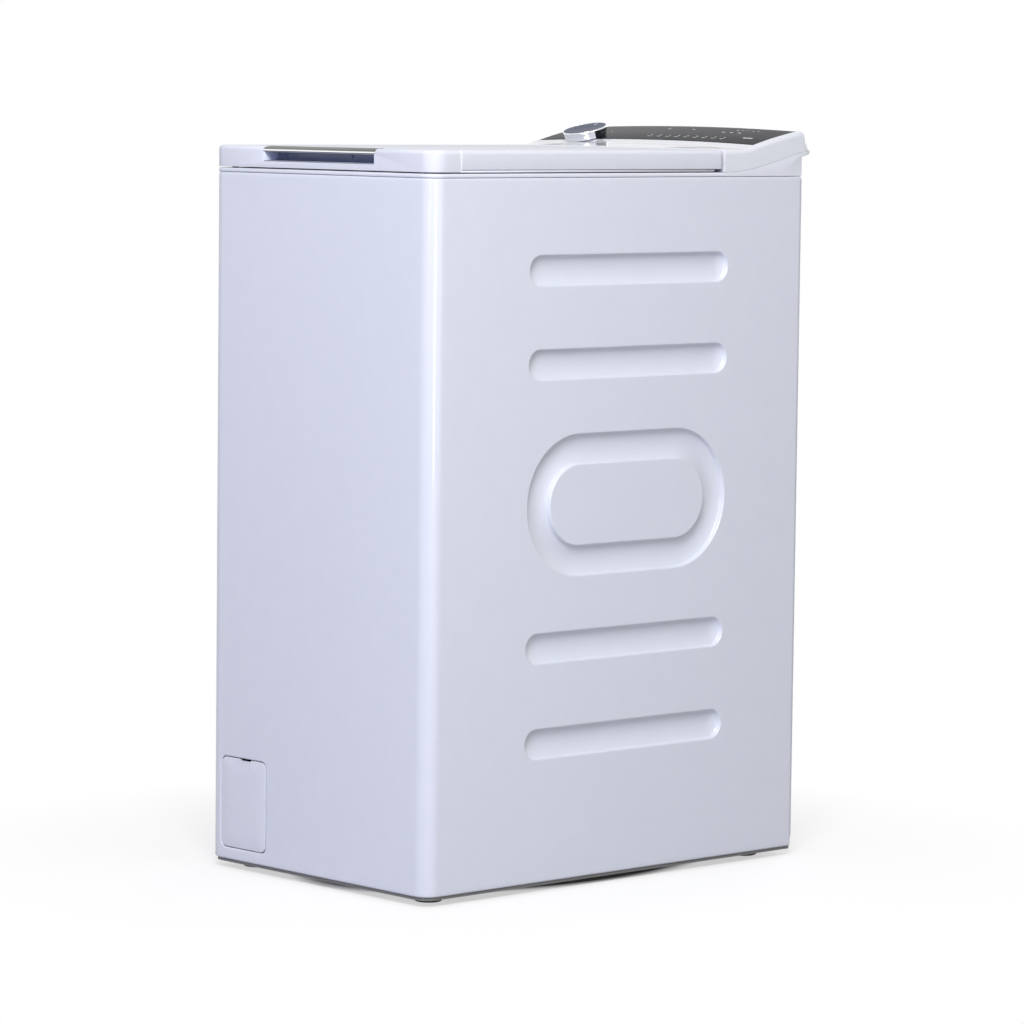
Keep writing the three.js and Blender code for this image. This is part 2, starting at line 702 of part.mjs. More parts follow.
const heaterZ = axisZ - tubRadius + heaterLift;
const heaterPlate = (from, to, grow) => block(from, to, axisY - heaterHalf - 8 - grow, axisY + heaterHalf + 8 + grow,
  heaterZ - 5 - grow, heaterZ + 7 + grow);
const heaterSlot = heaterPlate(tubHalfWidth - 12, tubHalfWidth + 1, fitGap);
place('tub_right', tubHalf(1, dampers.map(damperLug)).subtract(heaterSlot), tubPlastic);

// The left half carries the sump's spout and four hangers for the motor
const sumpX = capX + sumpInset;
const sumpY = axisY - sumpSetback;
const sumpTop = axisZ - Math.sqrt(tubRadius ** 2 - (sumpY - axisY) ** 2);
const hangerX = [motorLeft + 10, motorLeft + 110];
const hangerY = [motorY - 34, motorY + 34];
const hangerFoot = motorZ + motorRadius - 6;
const hangers = hangerX.flatMap((x) => hangerY.map((y) =>
  block(x, x + hangerWidth, y - 6, y + 6, hangerFoot, axisZ - 60)));
const spout = rod('z', [sumpX, sumpY], sumpRadius, sumpTop - 22, sumpTop + 60, midRound);
place('tub_left', tubHalf(-1, [spout, ...hangers])
  .subtract(rod('z', [sumpX, sumpY], sumpRadius - 3, sumpTop - 23, sumpTop + 60, midRound)), tubPlastic);

// Heater: a rod bent to a U under the drum, on a flange in the right end wall
const heaterEnd = tubHalfWidth - tubWall;
const heaterBend = -tubHalfWidth + 36;
const heaterPath = through(...[
  [heaterEnd - 1, -1], [40, -1], [heaterBend + 31, -1], [heaterBend + 8, -0.6], [heaterBend, 0],
  [heaterBend + 8, 0.6], [heaterBend + 31, 1], [40, 1], [heaterEnd - 1, 1],
].map(([x, share]) => [x, axisY + share * heaterHalf, heaterZ]));
place('heater', join(
  pipe(heaterPath, heaterRod, 5, 16),
  heaterPlate(heaterEnd - 3, tubHalfWidth + 4, 0),
), steel);

// Bellows from the tub's neck to the top frame, with one fold
const bellowsBottom = neckTop + fitGap;
const bellowsTop = frameTop - frameWall - fitGap;
// share of the height and bulge of each ring, from the neck to the top frame
const bellowsFold = [[0, 0], [0.134, 1], [0.413, 12], [0.574, 11], [0.708, 1], [1, bellowsLip]];
function bellowsRings(inset) {
  const beyondEnds = inset > 0 ? 1 : 0;
  const low = bellowsBottom - beyondEnds;
  const high = bellowsTop + beyondEnds;
  return bellowsFold.map(([share, out]) => level(roundedOutline(
    -neckHalfWidth + inset - out, neckHalfWidth - inset + out, axisY - neckHalfDepth + inset - out,
    axisY + neckHalfDepth - inset + out, mouthCorner - inset + out,
  ), low + share * (high - low)));
}
place('bellows', loft(bellowsRings(0)).subtract(loft(bellowsRings(bellowsWall))), rubber);

// Drum shell with its hatch, drain holes and rolled seats for the ends
const hatch = toRadians(hatchAngle);
const hatchSector = (reach, radiusLow, radiusHigh) => {
  const shape = new THREE.Shape();
  shape.absarc(axisY, axisZ, radiusHigh, quarter - reach, quarter + reach, false);
  shape.absarc(axisY, axisZ, radiusLow, quarter + reach, quarter - reach, true);
  return shape;
};
let drumShell = tube('x', tubCentre, drumRadius, drumRadius - drumSheet, -drumHalfWidth, drumHalfWidth, bigRound);
drumShell = drumShell.subtract(prism('x', hatchSector(hatch, drumRadius - 12, drumRadius + 2), -hatchHalfWidth,
  hatchHalfWidth));
const holeRadius = 4;
const holeStations = [-0.62, 0, 0.62];            // shares of the drum's half width
for (let k = 1; k < holeRows; k++) {
  const angle = quarter + hatch + k * (2 * Math.PI - 2 * hatch) / holeRows;
  for (const share of holeStations) {
    const drill = new THREE.CylinderGeometry(holeRadius, holeRadius, 10, 6);
    drill.translate(0, drumRadius, 0).rotateX(angle).translate(share * drumHalfWidth, axisY, axisZ);
    drumShell = drumShell.subtract(solidOf(drill));
  }
}
place('drum_shell', drumShell, steel);

// Drum ends: dished discs with a rim that fits inside the shell
const endRadius = drumRadius - drumSheet - fitGap;
const endSheet = 3;
const endFace = drumHalfWidth - 1 - dishDepth;     // outer face of the flat middle
for (const side of [-1, 1]) {
  const at = (x) => side * x;
  const profile = [
    [shaftRadius + fitGap, at(endFace - endSheet)], [endRadius - dishWidth, at(endFace - endSheet)],
    [endRadius, at(endFace + dishDepth - endSheet)], [endRadius, at(endFace + dishDepth)],
    [endRadius - dishWidth, at(endFace)], [shaftRadius + fitGap, at(endFace)],
  ];
  place(side < 0 ? 'drum_end_left' : 'drum_end_right', turned('x', profile, tubCentre, bigRound), steel);
}

// Lifters: tapered ridges, each seated on one flat of the shell
const lifterAngle = 10.5 * 2 * Math.PI / bigRound;
const lifterSeat = (drumRadius - drumSheet) * Math.cos(Math.PI / bigRound) - fitGap;
const lifterFoot = lifterSeat * Math.tan(Math.PI / bigRound) - 4 * fitGap;
const lifterEnd = endFace - 17;
const lifterTaper = 14;
const lifterStations = [                          // x, half width of foot and crest, share of height
  [-lifterEnd, lifterFoot * 0.67, 4, 0.5], [-lifterEnd + lifterTaper, lifterFoot, 7, 1],
  [lifterEnd - lifterTaper, lifterFoot, 7, 1], [lifterEnd, lifterFoot * 0.67, 4, 0.5],
];
for (const [name, side] of [['lifter_front', 1], ['lifter_rear', -1]]) {
  const turn = new THREE.Matrix4().makeRotationX(side * lifterAngle).setPosition(0, axisY, axisZ);
  const rings = lifterStations.map(([x, half, top, rise]) => {
    const crest = lifterSeat - lifterHeight * rise;
    const section = [[-half, lifterSeat], [half, lifterSeat], [top, crest], [-top, crest]];
    return section.map(([y, z]) => new THREE.Vector3(x, y, z).applyMatrix4(turn));
  });
  place(name, loft(rings), tubPlastic);
}

// Shafts: a flange riveted to the drum end and a journal through the tub's hub
const shaftEnds = { left: -(Math.abs(pulleyX) + beltWidth / 2 + 4), right: hubFace };
for (const [name, end] of Object.entries(shaftEnds)) {
  const side = Math.sign(end);
  const face = side * (endFace + fitGap);
  place('shaft_' + name, turned('x', [
    [0, side * (endFace - 9)], [shaftRadius, side * (endFace - 9)], [shaftRadius, face],
    [flangeRadius, face], [flangeRadius - 4, face + side * 5], [shaftRadius + 6, face + side * 7],
    [shaftRadius, face + side * 12], [shaftRadius, end], [0, end],
  ], tubCentre, midRound), castAluminium);
}
const bearingSetback = 2;                          // bearing inside the hub's face
for (const [name, side] of [['bearing_left', -1], ['bearing_right', 1]]) {
  const middle = side * (hubFace - bearingSetback - bearingWidth / 2);
  place(name, tube('x', tubCentre, bearingRadius, roundClear(shaftRadius, midRound), middle - bearingWidth / 2,
    middle + bearingWidth / 2, midRound), steel);
}

// Hatch flaps: curved doors on curled hinge edges, parted at the top
const hingeAngle = hatch - toRadians(1.3);
const hatchHinge = (side) => [axisY + side * (drumRadius - 2) * Math.sin(hingeAngle),
  axisZ + (drumRadius - 2) * Math.cos(hingeAngle)];
const meetingGap = toRadians(0.2);
const buttonY = axisY - drumRadius * Math.sin(toRadians(buttonAngle));
const buttonTop = axisZ + drumRadius * Math.cos(toRadians(buttonAngle));
const buttonHole = block(-buttonLength / 2, buttonLength / 2, buttonY - buttonWidth / 2, buttonY + buttonWidth / 2,
  axisZ + drumRadius - 14, axisZ + drumRadius + 3);
const doorEnd = hatchHalfWidth - hatchPlay;
for (const [name, side] of [['hatch_flap_front', -1], ['hatch_flap_rear', 1]]) {
  const low = Math.min(side * meetingGap, side * hingeAngle);
  const high = Math.max(side * meetingGap, side * hingeAngle);
  const shape = new THREE.Shape();
  shape.absarc(axisY, axisZ, drumRadius, quarter - high, quarter - low, false);
  shape.absarc(axisY, axisZ, drumRadius - drumSheet, quarter - low, quarter - high, true);
  const door = prism('x', shape, -doorEnd, doorEnd, 3)
    .add(rod('x', hatchHinge(side), curlRadius, -doorEnd, doorEnd, midRound));
  place(name, side < 0 ? door.subtract(buttonHole) : door, steel);
}
const buttonRing = (inset, z) => level(roundedOutline(-buttonLength / 2 + inset, buttonLength / 2 - inset,
  buttonY - buttonWidth / 2 + inset, buttonY + buttonWidth / 2 - inset, 3, 2), z);
place('hatch_button', loft([
  buttonRing(hatchPlay, buttonTop - 5), buttonRing(hatchPlay, buttonTop), buttonRing(3, buttonTop + 1.5),
]), tubPlastic);

// Drum pulley: rim, five spokes and hub
const pulleyHalf = beltWidth / 2 + 1;
const pulleyRim = 7;
const pulleyHub = 24;
const spokeCount = 5;
let drumPulley = join(
  tube('x', tubCentre, drumPulleyRadius, drumPulleyRadius - pulleyRim, pulleyX - pulleyHalf,
    pulleyX + pulleyHalf, 2 * midRound),
  tube('x', tubCentre, pulleyHub, shaftRadius + fitGap, pulleyX - pulleyHalf - 2, pulleyX + pulleyHalf, midRound),
);
for (let k = 0; k < spokeCount; k++) {
  const inner = pulleyHub - 2;
  const outer = drumPulleyRadius - pulleyRim + 1;
  const spoke = new THREE.BoxGeometry(5, 14, outer - inner);
  spoke.translate(0, 0, (outer + inner) / 2).rotateX(k * 2 * Math.PI / spokeCount).translate(pulleyX, axisY, axisZ);
  drumPulley = drumPulley.add(solidOf(spoke));
}
place('drum_pulley', drumPulley, castAluminium);

// Belt: an open loop round both pulleys
function beltLoop(extra) {
  const dy = motorY - axisY;
  const dz = motorZ - axisZ;
  const distance = Math.hypot(dy, dz);
  const aim = Math.atan2(dz, dy);
  const lean = Math.acos((drumPulleyRadius - motorPulleyRadius) / distance);
  const shape = new THREE.Shape();
  shape.absarc(axisY, axisZ, drumPulleyRadius + extra, aim + lean, aim - lean + 2 * Math.PI, false);
  shape.absarc(motorY, motorZ, motorPulleyRadius + extra, aim - lean + 2 * Math.PI, aim + lean + 2 * Math.PI, false);
  return shape;
}
const beltArc = 8;
place('drive_belt', cut(
  prism('x', beltLoop(beltGap + beltThickness), pulleyX - beltWidth / 2, pulleyX + beltWidth / 2, beltArc),
  prism('x', beltLoop(beltGap), pulleyX - beltWidth, pulleyX + beltWidth, beltArc),
), rubber);

// Motor: a ribbed housing open at the drive end, with the rotor, shaft and pulley turning in it
const motorCentre = [motorY, motorZ];
const rotorRadius = motorRadius - motorWall - 8;
let motorHousing = turned('x', [
  [0, motorLeft], [motorRadius - 8, motorLeft], [motorRadius, motorLeft + 8], [motorRadius, motorRight - 8],
  [motorRadius - 8, motorRight], [0, motorRight],
], motorCentre, midRound);
for (const x of [motorLeft + 44, motorLeft + 124]) {
  motorHousing = motorHousing.add(rod('x', motorCentre, motorRadius + 3, x, x + 5, midRound));
}
for (const x of hangerX) {
  for (const y of hangerY) {
    motorHousing = motorHousing.add(block(x - 5, x - fitGap, y - 9, y + 9, motorZ + 30, hangerFoot + 18));
  }
}
const hangerClear = hangerX.flatMap((x) => hangerY.map((y) =>
  block(x - fitGap, x + hangerWidth + fitGap, y - 6 - fitGap, y + 6 + fitGap, hangerFoot - fitGap, hangerFoot + 60)));
const motorBore = turned('x', [
  [0, motorLeft - 1], [motorShaft + 1, motorLeft - 1], [motorShaft + 1, motorLeft + 4],
  [rotorRadius + 3, motorLeft + 4], [rotorRadius + 3, motorRight - 4], [0, motorRight - 4],
], motorCentre, midRound);
place('motor_housing', cut(motorHousing, ...hangerClear, motorBore), castAluminium);
place('rotor', turned('x', [
  [0, motorRight - 6], [motorShaft, motorRight - 6], [motorShaft, motorRight - 14], [rotorRadius, motorRight - 14],
  [rotorRadius, motorLeft + 14], [motorShaft, motorLeft + 14], [motorShaft, pulleyX + pulleyHalf],
  [motorPulleyRadius, pulleyX + pulleyHalf], [motorPulleyRadius, pulleyX - pulleyHalf], [0, pulleyX - pulleyHalf],
], motorCentre, midRound), steel);

// Counterweights: concrete blocks shaped to the tub, high at its front and rear
const weightHalf = tubHalfWidth - weightMargin;
function weightOutline(side, outerY) {
  const radius = tubRadius + seamRim + fitGap;
  const lowZ = axisZ + weightFoot;
  const highZ = neckTop - 16;
  const neckFace = neckHalfDepth + seamRim + fitGap;
  const from = Math.asin((lowZ - axisZ) / radius);
  const to = Math.acos(neckFace / radius);
  const shape = new THREE.Shape();
  shape.moveTo(outerY, lowZ);
  if (side < 0) shape.absarc(axisY, axisZ, radius, Math.PI - from, Math.PI - to, true);
  else shape.absarc(axisY, axisZ, radius, from, to, false);
  shape.lineTo(axisY + side * neckFace, highZ);
  shape.lineTo(outerY, highZ);
  return shape;
}
place('counterweight_front', prism('x', weightOutline(-1, weightGap), -weightHalf, weightHalf, 4), concrete);
place('counterweight_rear', prism('x', weightOutline(1, cabinetDepth - rearWeightGap), -weightHalf, weightHalf, 4),
  concrete);

// Springs: coil between a straight upper hook at the cabinet's fold and a lower hook in the tub's ear
const springTop = cabinetTop - sheet - fitGap - springWire;
const coilLow = springLow + 14;
const coilHigh = coilLow + coilLength;
class SpringCurve extends THREE.Curve {
  getPoint(t, target = new THREE.Vector3()) {
    const lead = 0.1;                            // share of the curve in each straight end
    const hookLow = springLow - 6;
    if (t < lead) return target.set(this.swell(t / lead), 0, hookLow + (coilLow - hookLow) * t / lead);
    if (t > 1 - lead) {
      const k = (1 - t) / lead;
      return target.set(this.swell(k), 0, springTop - (springTop - coilHigh) * k);
    }
    const k = (t - lead) / (1 - 2 * lead);
    const angle = 2 * Math.PI * coilTurns * k;
    const coil = this.swell(1);
    return target.set(coil * Math.cos(angle), coil * Math.sin(angle), coilLow + (coilHigh - coilLow) * k);
  }

  // distance of the wire's middle from the spring's axis, growing from a hook to the coil
  swell(k) {
    return (springRadius - springWire) * THREE.MathUtils.smoothstep(k, 0.5, 1);
  }
}
const springSteps = 7 * coilTurns + 4;
for (const [sideName, side] of [['left', -1], ['right', 1]]) {
  for (const [endName, y] of springPlaces) {
    const section = new THREE.Shape(Array.from({ length: 4 }, (_, i) =>
      new THREE.Vector2(springWire * Math.cos(i * quarter), springWire * Math.sin(i * quarter))));
    const path = { steps: springSteps, extrudePath: new SpringCurve(), bevelEnabled: false };
    const wire = new THREE.ExtrudeGeometry(section, path).translate(side * springX, y, 0);
    place(`spring_${endName}_${sideName}`, solidOf(wire), zinc);
  }
}

// Dampers: a cylinder on the base and a rod hung from the tub
for (const { name, x, low, high } of dampers) {
  const from = new THREE.Vector3(x, low[0], low[1]);
  const to = new THREE.Vector3(x, high[0], high[1]);
  const length = from.distanceTo(to);
  const turn = new THREE.Matrix4().makeRotationFromQuaternion(new THREE.Quaternion().setFromUnitVectors(
    new THREE.Vector3(0, 1, 0), to.clone().sub(from).normalize())).setPosition(from);
  const eye = damperPin + 5;
  const along = (profile, eyeAt) => {
    const points = [...profile, profile[0]].map(([r, d]) => new THREE.Vector2(r, d));
    const body = solidOf(new THREE.LatheGeometry(points, smallRound).applyMatrix4(turn));
    const centre = eyeAt === 0 ? low : high;
    const ring = rod('x', centre, eye, x - damperPin - 4, x + damperPin + 4, smallRound);
    return body.add(ring).subtract(rod('x', centre, damperPin + fitGap, x - 20, x + 20, smallRound));
  };
  const bodyTop = length * 0.62;
  const rodRadius = 5.5;
  place(`damper_cylinder_${name}`, along([
    [0, 5], [6, 5], [7, 18], [damperRadius, 26], [damperRadius, bodyTop], [rodRadius + 1, bodyTop],
    [rodRadius + 1, 40], [0, 40],
  ], 0), darkPlastic);
  place(`damper_rod_${name}`, along([
    [0, bodyTop - 45], [rodRadius, bodyTop - 45], [rodRadius, length - 6], [0, length - 6],
  ], 1), zinc);
}

// Drain pump with its filter housing, and the hose from the sump
const pumpCentre = [capX, capZ];
const housingRadius = capRadius + 6;
const capThread = capRadius - 3;
const portX = capX + 38;
const hoseY = pumpRear - 30;
let pump = turned('y', [
  [capThread + 1, pumpFront], [housingRadius, pumpFront], [housingRadius, pumpRear], [26, pumpRear + 6],
  [26, pumpRear + 62], [22, pumpRear + 66], [0, pumpRear + 66], [0, pumpRear - 4], [capThread + 1, pumpRear - 4],
], pumpCentre, midRound);
pump = pump.add(cut(
  block(capX - 8, capX + 20, pumpFront + 20, pumpFront + 80, plinthBottom + baseWall + fitGap, capZ),
  rod('y', pumpCentre, housingRadius - 2, 0, 300, midRound),
));
pump = pump.add(rod('x', [hoseY, capZ], hoseRadius, capX + 20, portX));
pump = pump.subtract(rod('x', [hoseY, capZ], hoseRadius - 3, capX, portX + 1));
place('drain_pump', pump, tubPlastic);

const spoutEnd = sumpTop - 22 - fitGap;
const hosePath = through(
  [portX + fitGap, hoseY, capZ], [portX + 10, hoseY, capZ], [sumpX - 14, hoseY + 6, capZ + 6],
  [sumpX, (hoseY + sumpY) / 2, capZ + 30], [sumpX, sumpY - 8, spoutEnd - 24], [sumpX, sumpY, spoutEnd - 9],
  [sumpX, sumpY, spoutEnd],
);
place('sump_hose', pipe(hosePath, hoseRadius, 8, 12), rubber);

place('filter_cap', join(
  turned('y', [
    [0, capFace + 8], [capRadius + 3, capFace + 8], [capRadius + 3, pumpFront - 4], [capThread, pumpFront - fitGap],
    [capThread, pumpFront + 16], [0, pumpFront + 16],
  ], pumpCentre, midRound),
  prism('y', roundedOutline(capX - 21, capX + 21, capZ - 4, capZ + 4, 3, 2), capFace, capFace + 9),
), darkPlastic);

const flapPivotZ = flapBottom + flapCorner;      // above the rounded corners, so that the flap folds out clear
const coinSlot = block(capX - 6, capX + 14, -1, flapThickness - 1, flapTop - 1.6, flapTop + 1);
const catchHalf = 11;
place('filter_flap', join(
  prism('y', roundedOutline(flapLeft, flapRight, flapBottom, flapTop, flapCorner), 0, flapThickness)
    .subtract(coinSlot),
  rod('x', [flapPivotY, flapPivotZ], flapPivotRadius, flapLeft + 14, flapRight - 14, 12),
  block(capX - catchHalf, capX + catchHalf, flapThickness - 0.5, 7, flapTop - 14, flapTop - 11),
), whitePlastic);

// ---------------------------------------------------------------- top frame
// Lid lock under the frame's front edge, with a slot for the striker
const lockRear = mouthFront - lockMargin;
const lockFront = lockRear - lockDepth;
const lockTop = frameTop - frameWall - fitGap;
const strikerSlot = (bottom, top) => block(-8, 8, lockFront + 10, lockFront + 22, bottom, top);

const frameBottom = cabinetTop + fitGap;
const spigotBottom = cabinetTop - spigotDepth;
const frameRear = cabinetDepth - 1.6;

// Points (y, z) of a rising line, from shares of its run and of its rise
const rising = (fromY, toY, fromZ, rise, shares) => new THREE.SplineCurve(shares.map(([run, lift]) =>
  new THREE.Vector2(fromY + run * (toY - fromY), fromZ + lift * rise)));

// Seam between the frame's side cheek and the console, flat behind the lid and rising to the rear lip
const cheek = rising(consoleFront + 0.5, consoleRear - 0.6, frameTop, cheekRise, [
  [0, 0], [0.173, 0.045], [0.349, 0.189], [0.62, 0.523], [0.783, 0.758], [0.905, 0.909], [1, 1],
]);
const consoleHighest = lidTop - consoleStep + consoleRise;
const rearLipLow = consoleHighest - rearLipDrop;
const cheekLine = cheek.getPoints(7);
const cheekOutline = [
  new THREE.Vector2(consoleFront + 0.5, frameBottom), new THREE.Vector2(frameRear, frameBottom),
  new THREE.Vector2(frameRear, rearLipLow), new THREE.Vector2(consoleRear - 1, rearLipLow + 4),
  ...cheekLine.toReversed(),
];
const bandOutline = (inset) => cabinetOutline(inset, frameRear - Math.max(inset - 1, 0));
const mouth = (grow) => roundedOutline(-mouthHalfWidth - grow, mouthHalfWidth + grow, mouthFront - grow,
  mouthRear + grow, mouthCorner);
let topFrame = join(
  prism('z', bandOutline(0), frameBottom, frameTop),
  prism('z', bandOutline(spigotInset), spigotBottom, frameBottom + 1),
);
topFrame = cut(
  topFrame,
  prism('z', bandOutline(spigotInset + frameWall), spigotBottom - 1, frameTop - frameWall),
  prism('z', mouth(0), spigotBottom, frameTop + 1),
);
const cheekBox = prism('x', cheekOutline, -halfWidth, halfWidth);
const insideCheeks = (fromY, toY, bottom) => block(-halfWidth + frameWall, halfWidth - frameWall, fromY, toY, bottom,
  consoleHighest);
topFrame = topFrame.add(cut(cheekBox, insideCheeks(consoleFront - 1, frameRear - frameWall, frameTop),
  insideCheeks(cabinetDepth - 8, consoleRear + 1, rearLipLow + frameWall)));
// collar that carries the bellows and a raised lip that keeps water in the mouth
const collarInner = bellowsLip + 1 + fitGap;
topFrame = topFrame.add(cut(
  prism('z', mouth(collarInner + frameWall), frameTop - frameWall - 8, frameTop + 2.5),
  prism('z', mouth(collarInner), frameTop - frameWall - 9, frameTop - frameWall),
  prism('z', mouth(0), frameTop - 50, frameTop + 5),
));
// hinge lugs under the lid's rear edge
const lugOutline = () => {
  const shape = new THREE.Shape();
  shape.moveTo(hingeY + lugRadius, frameTop - 1);
  shape.absarc(hingeY, hingeZ, lugRadius, 0, Math.PI, false);
  shape.lineTo(hingeY - lugRadius - 3, frameTop - 1);
  return shape;
};
for (const side of [-1, 1]) {
  topFrame = topFrame.add(prism('x', lugOutline(), side * hingeX - lugHalf, side * hingeX + lugHalf));
  topFrame = topFrame.subtract(rod('x', [hingeY, hingeZ], hingePinRadius + fitGap, side * hingeX - 10,
    side * hingeX + 10, smallRound));
}
const bufferPlaces = [['buffer_left', -halfWidth + 38, 7], ['buffer_right', halfWidth - 24, 9]];
for (const [, x, y] of bufferPlaces) {
  topFrame = topFrame.subtract(rod('z', [x, y], bufferRadius - 1 + fitGap, frameBottom + 1, frameTop + 1,
    smallRound));
}
place('top_frame', topFrame.subtract(strikerSlot(spigotBottom, frameTop + 1)), whitePlastic);

for (const [name, x, y] of bufferPlaces) {
  const head = frameTop + fitGap;
  const crown = lidFrontBottom - fitGap;
  place(name, turned('z', [
    [0, frameBottom + 1.5], [bufferRadius - 1, frameBottom + 1.5], [bufferRadius - 1, head], [bufferRadius, head],
    [bufferRadius, crown], [0, crown],
  ], [x, y], smallRound), rubber);
}

place('lid_lock', cut(
  block(-lockWidth / 2, lockWidth / 2, lockFront, lockRear, lockTop - 26, lockTop),
  strikerSlot(lockTop - 18, lockTop + 1),
), darkPlastic);

// ---------------------------------------------------------------- console
const topLine = rising(consoleFront, consoleBack, lidTop - consoleStep, consoleRise, [
  [0, 0], [0.174, 0.009], [0.297, 0.072], [0.406, 0.252], [0.522, 0.441], [0.63, 0.604], [0.826, 0.86],
  [0.942, 0.995], [1, 1],
]);
const topPoints = topLine.getPoints(9);
function consoleTopAt(y) {
  const next = topPoints.findIndex((p) => p.x >= y);
  const [a, b] = [topPoints[Math.max(next - 1, 0)], topPoints[Math.max(next, 1)]];
  return a.y + (b.y - a.y) * (y - a.x) / (b.x - a.x);
}
const crownAt = (x) => consoleCrown * (1 - (x / halfWidth) ** 2);
const crownSteps = 4;

// One slice of the console across its width: flat below, rounded shoulders, crowned top
function consoleSlice(y, drop, side, floor) {
  const half = halfWidth - side;
  const radius = Math.max(shoulder - side, 1);
  const top = consoleTopAt(y) - drop;
  const crownShare = Math.min(1, (y - consoleFront) / 40 + 0.3);     // the crown grows from the front edge
  const rounded = (middle, from) => Array.from({ length: coarse + 1 }, (_, i) => {
    const angle = from + quarter * i / coarse;
    return [middle + radius * Math.cos(angle), top - radius + radius * Math.sin(angle)];
  });
  const crown = Array.from({ length: crownSteps - 1 }, (_, i) => {
    const x = (half - radius) * (1 - 2 * (i + 1) / crownSteps);
    return [x, top + crownAt(x) * crownShare];
  });
  return [
    [-half, floor], [half, floor], ...rounded(half - radius, 0), ...crown, ...rounded(radius - half, quarter),
  ].map(([x, z]) => new THREE.Vector3(x, y, z));
}
const sliceStations = topPoints.map((p) => p.x);
function consoleBody(drop, side, from, to, floor) {
  const stations = [from, ...sliceStations.filter((y) => y > from + 1 && y < to - 1), to];
  return loft(stations.map((y) => consoleSlice(y, drop, side, floor)));
}
const underCheek = prism('x', [
  new THREE.Vector2(consoleFront - 5, frameTop - 50), new THREE.Vector2(consoleRear + 30, frameTop - 50),
  new THREE.Vector2(consoleRear + 30, frameTop + cheekRise + fitGap),
  ...cheekLine.toReversed().map((p) => new THREE.Vector2(p.x, p.y + fitGap)),
  new THREE.Vector2(consoleFront - 5, frameTop + fitGap),
], -halfWidth - 1, halfWidth + 1);
const wedgeFront = consoleBack - 4;
const rearWedge = prism('x', [
  new THREE.Vector2(wedgeFront, rearLipLow - 10), new THREE.Vector2(consoleRear, rearLipLow - 10),
  new THREE.Vector2(consoleRear, consoleHighest - 18.6), new THREE.Vector2(consoleRear - 6.6, consoleHighest - 6.6),
  new THREE.Vector2(wedgeFront, consoleTopAt(wedgeFront) - 1),
], -halfWidth + 1, halfWidth - 1);
const glassPocket = (grow) => prism('z', roundedOutline(-glassHalfWidth - grow, glassHalfWidth + grow,
  glassFront - grow, glassRear + grow, 3, 2), frameTop, consoleHighest + 2 * consoleCrown);
const knobTilt = Math.atan2(consoleTopAt(knobY + 8) - consoleTopAt(knobY - 8), 16);
const knobTurn = new THREE.Matrix4().makeRotationX(knobTilt);
const knobSeat = new THREE.Vector3(knobX, knobY, consoleTopAt(knobY) + crownAt(knobX));
knobTurn.setPosition(knobSeat);
// a turned form about the knob's own tilted axis
function aboutKnob(profile, segments) {
  const points = profile.map(([r, h]) => new THREE.Vector2(r, h));
  if (points[0].x > 0) points.push(points[0].clone());
  return solidOf(new THREE.LatheGeometry(points, segments).rotateX(quarter).applyMatrix4(knobTurn));
}
const spindleHole = aboutKnob([[0, -40], [spindleRadius + 1, -40], [spindleRadius + 1, 10], [0, 10]], 16);
const consoleOuter = consoleBody(0, 0, consoleFront, consoleBack, frameTop - 2).add(rearWedge);
const consoleInner = consoleBody(consoleWall + glassThickness, consoleWall, consoleFront + consoleWall,
  consoleBack - 5, frameTop - 13);
const glassBed = consoleBody(glassThickness + fitGap, 0, glassFront - 4, glassRear + 5, frameTop - 13);
const glassSeat = glassPocket(fitGap).subtract(glassBed);
place('console_shell', cut(consoleOuter, consoleInner, underCheek, spindleHole, glassSeat), whitePlastic);
const glassBody = consoleBody(0, 0, glassFront, glassRear, frameTop + 17)
  .subtract(consoleBody(glassThickness, -2, glassFront - 1, glassRear + 1, frameTop + 7));
place('control_glass', cut(glassBody.intersect(glassPocket(0)), spindleHole), darkGlass);

// Dial: chrome cap with a finger ridge and a spindle into the encoder
const knobBase = 1.5;
place('programme_dial', join(
  aboutKnob([
    [0, knobBase], [knobRadius - 3, knobBase], [knobRadius - 1.5, knobBase + 1], [knobRadius, knobBase + 5],
    [knobRadius, knobHeight - 2.5], [knobRadius - 2.5, knobHeight], [knobRadius - 5, knobHeight - 0.6],
    [0, knobHeight - 1.4],
  ], 20),
  aboutKnob([[0, -14], [spindleRadius, -14], [spindleRadius, knobBase + 1], [0, knobBase + 1]], 12),
), chrome);

// Control board on standoffs of the top frame, with the encoder under the dial
const boardZ = frameTop + boardLift;
const boardTop = boardZ + boardThickness;
const boardLeft = -halfWidth + 35;
const boardRight = halfWidth - 80;
const boardFront = consoleFront + 24;
const boardRear = cabinetDepth - 20;
const encoder = block(knobX - 10, knobX + 10, knobY - 8, knobY + 12, boardTop - 0.5, boardZ + 7);
const encoderBore = aboutKnob([[0, -40], [spindleRadius + fitGap, -40], [spindleRadius + fitGap, 0], [0, 0]], 12);
let board = join(
  block(boardLeft, boardRight, boardFront, boardRear, boardZ, boardTop),
  cut(encoder, encoderBore),
  block(boardRight - 180, boardRight - 150, boardFront + 60, boardFront + 85, boardTop - 0.5, boardZ + 20),
  block(boardRight - 100, boardRight - 68, boardFront + 20, boardFront + 48, boardTop - 0.5, boardZ + 12),
  rod('z', [boardRight - 40, boardFront + 72], 9, boardTop - 0.5, boardZ + 22, smallRound),
);
for (const x of [boardLeft + 10, boardRight - 10]) {
  for (const y of [boardFront + 8, boardRear - 8]) {
    board = board.add(rod('z', [x, y], 3, frameTop + fitGap, boardZ + 0.5, smallRound));
  }
}
place('control_board', board, boardGreen);

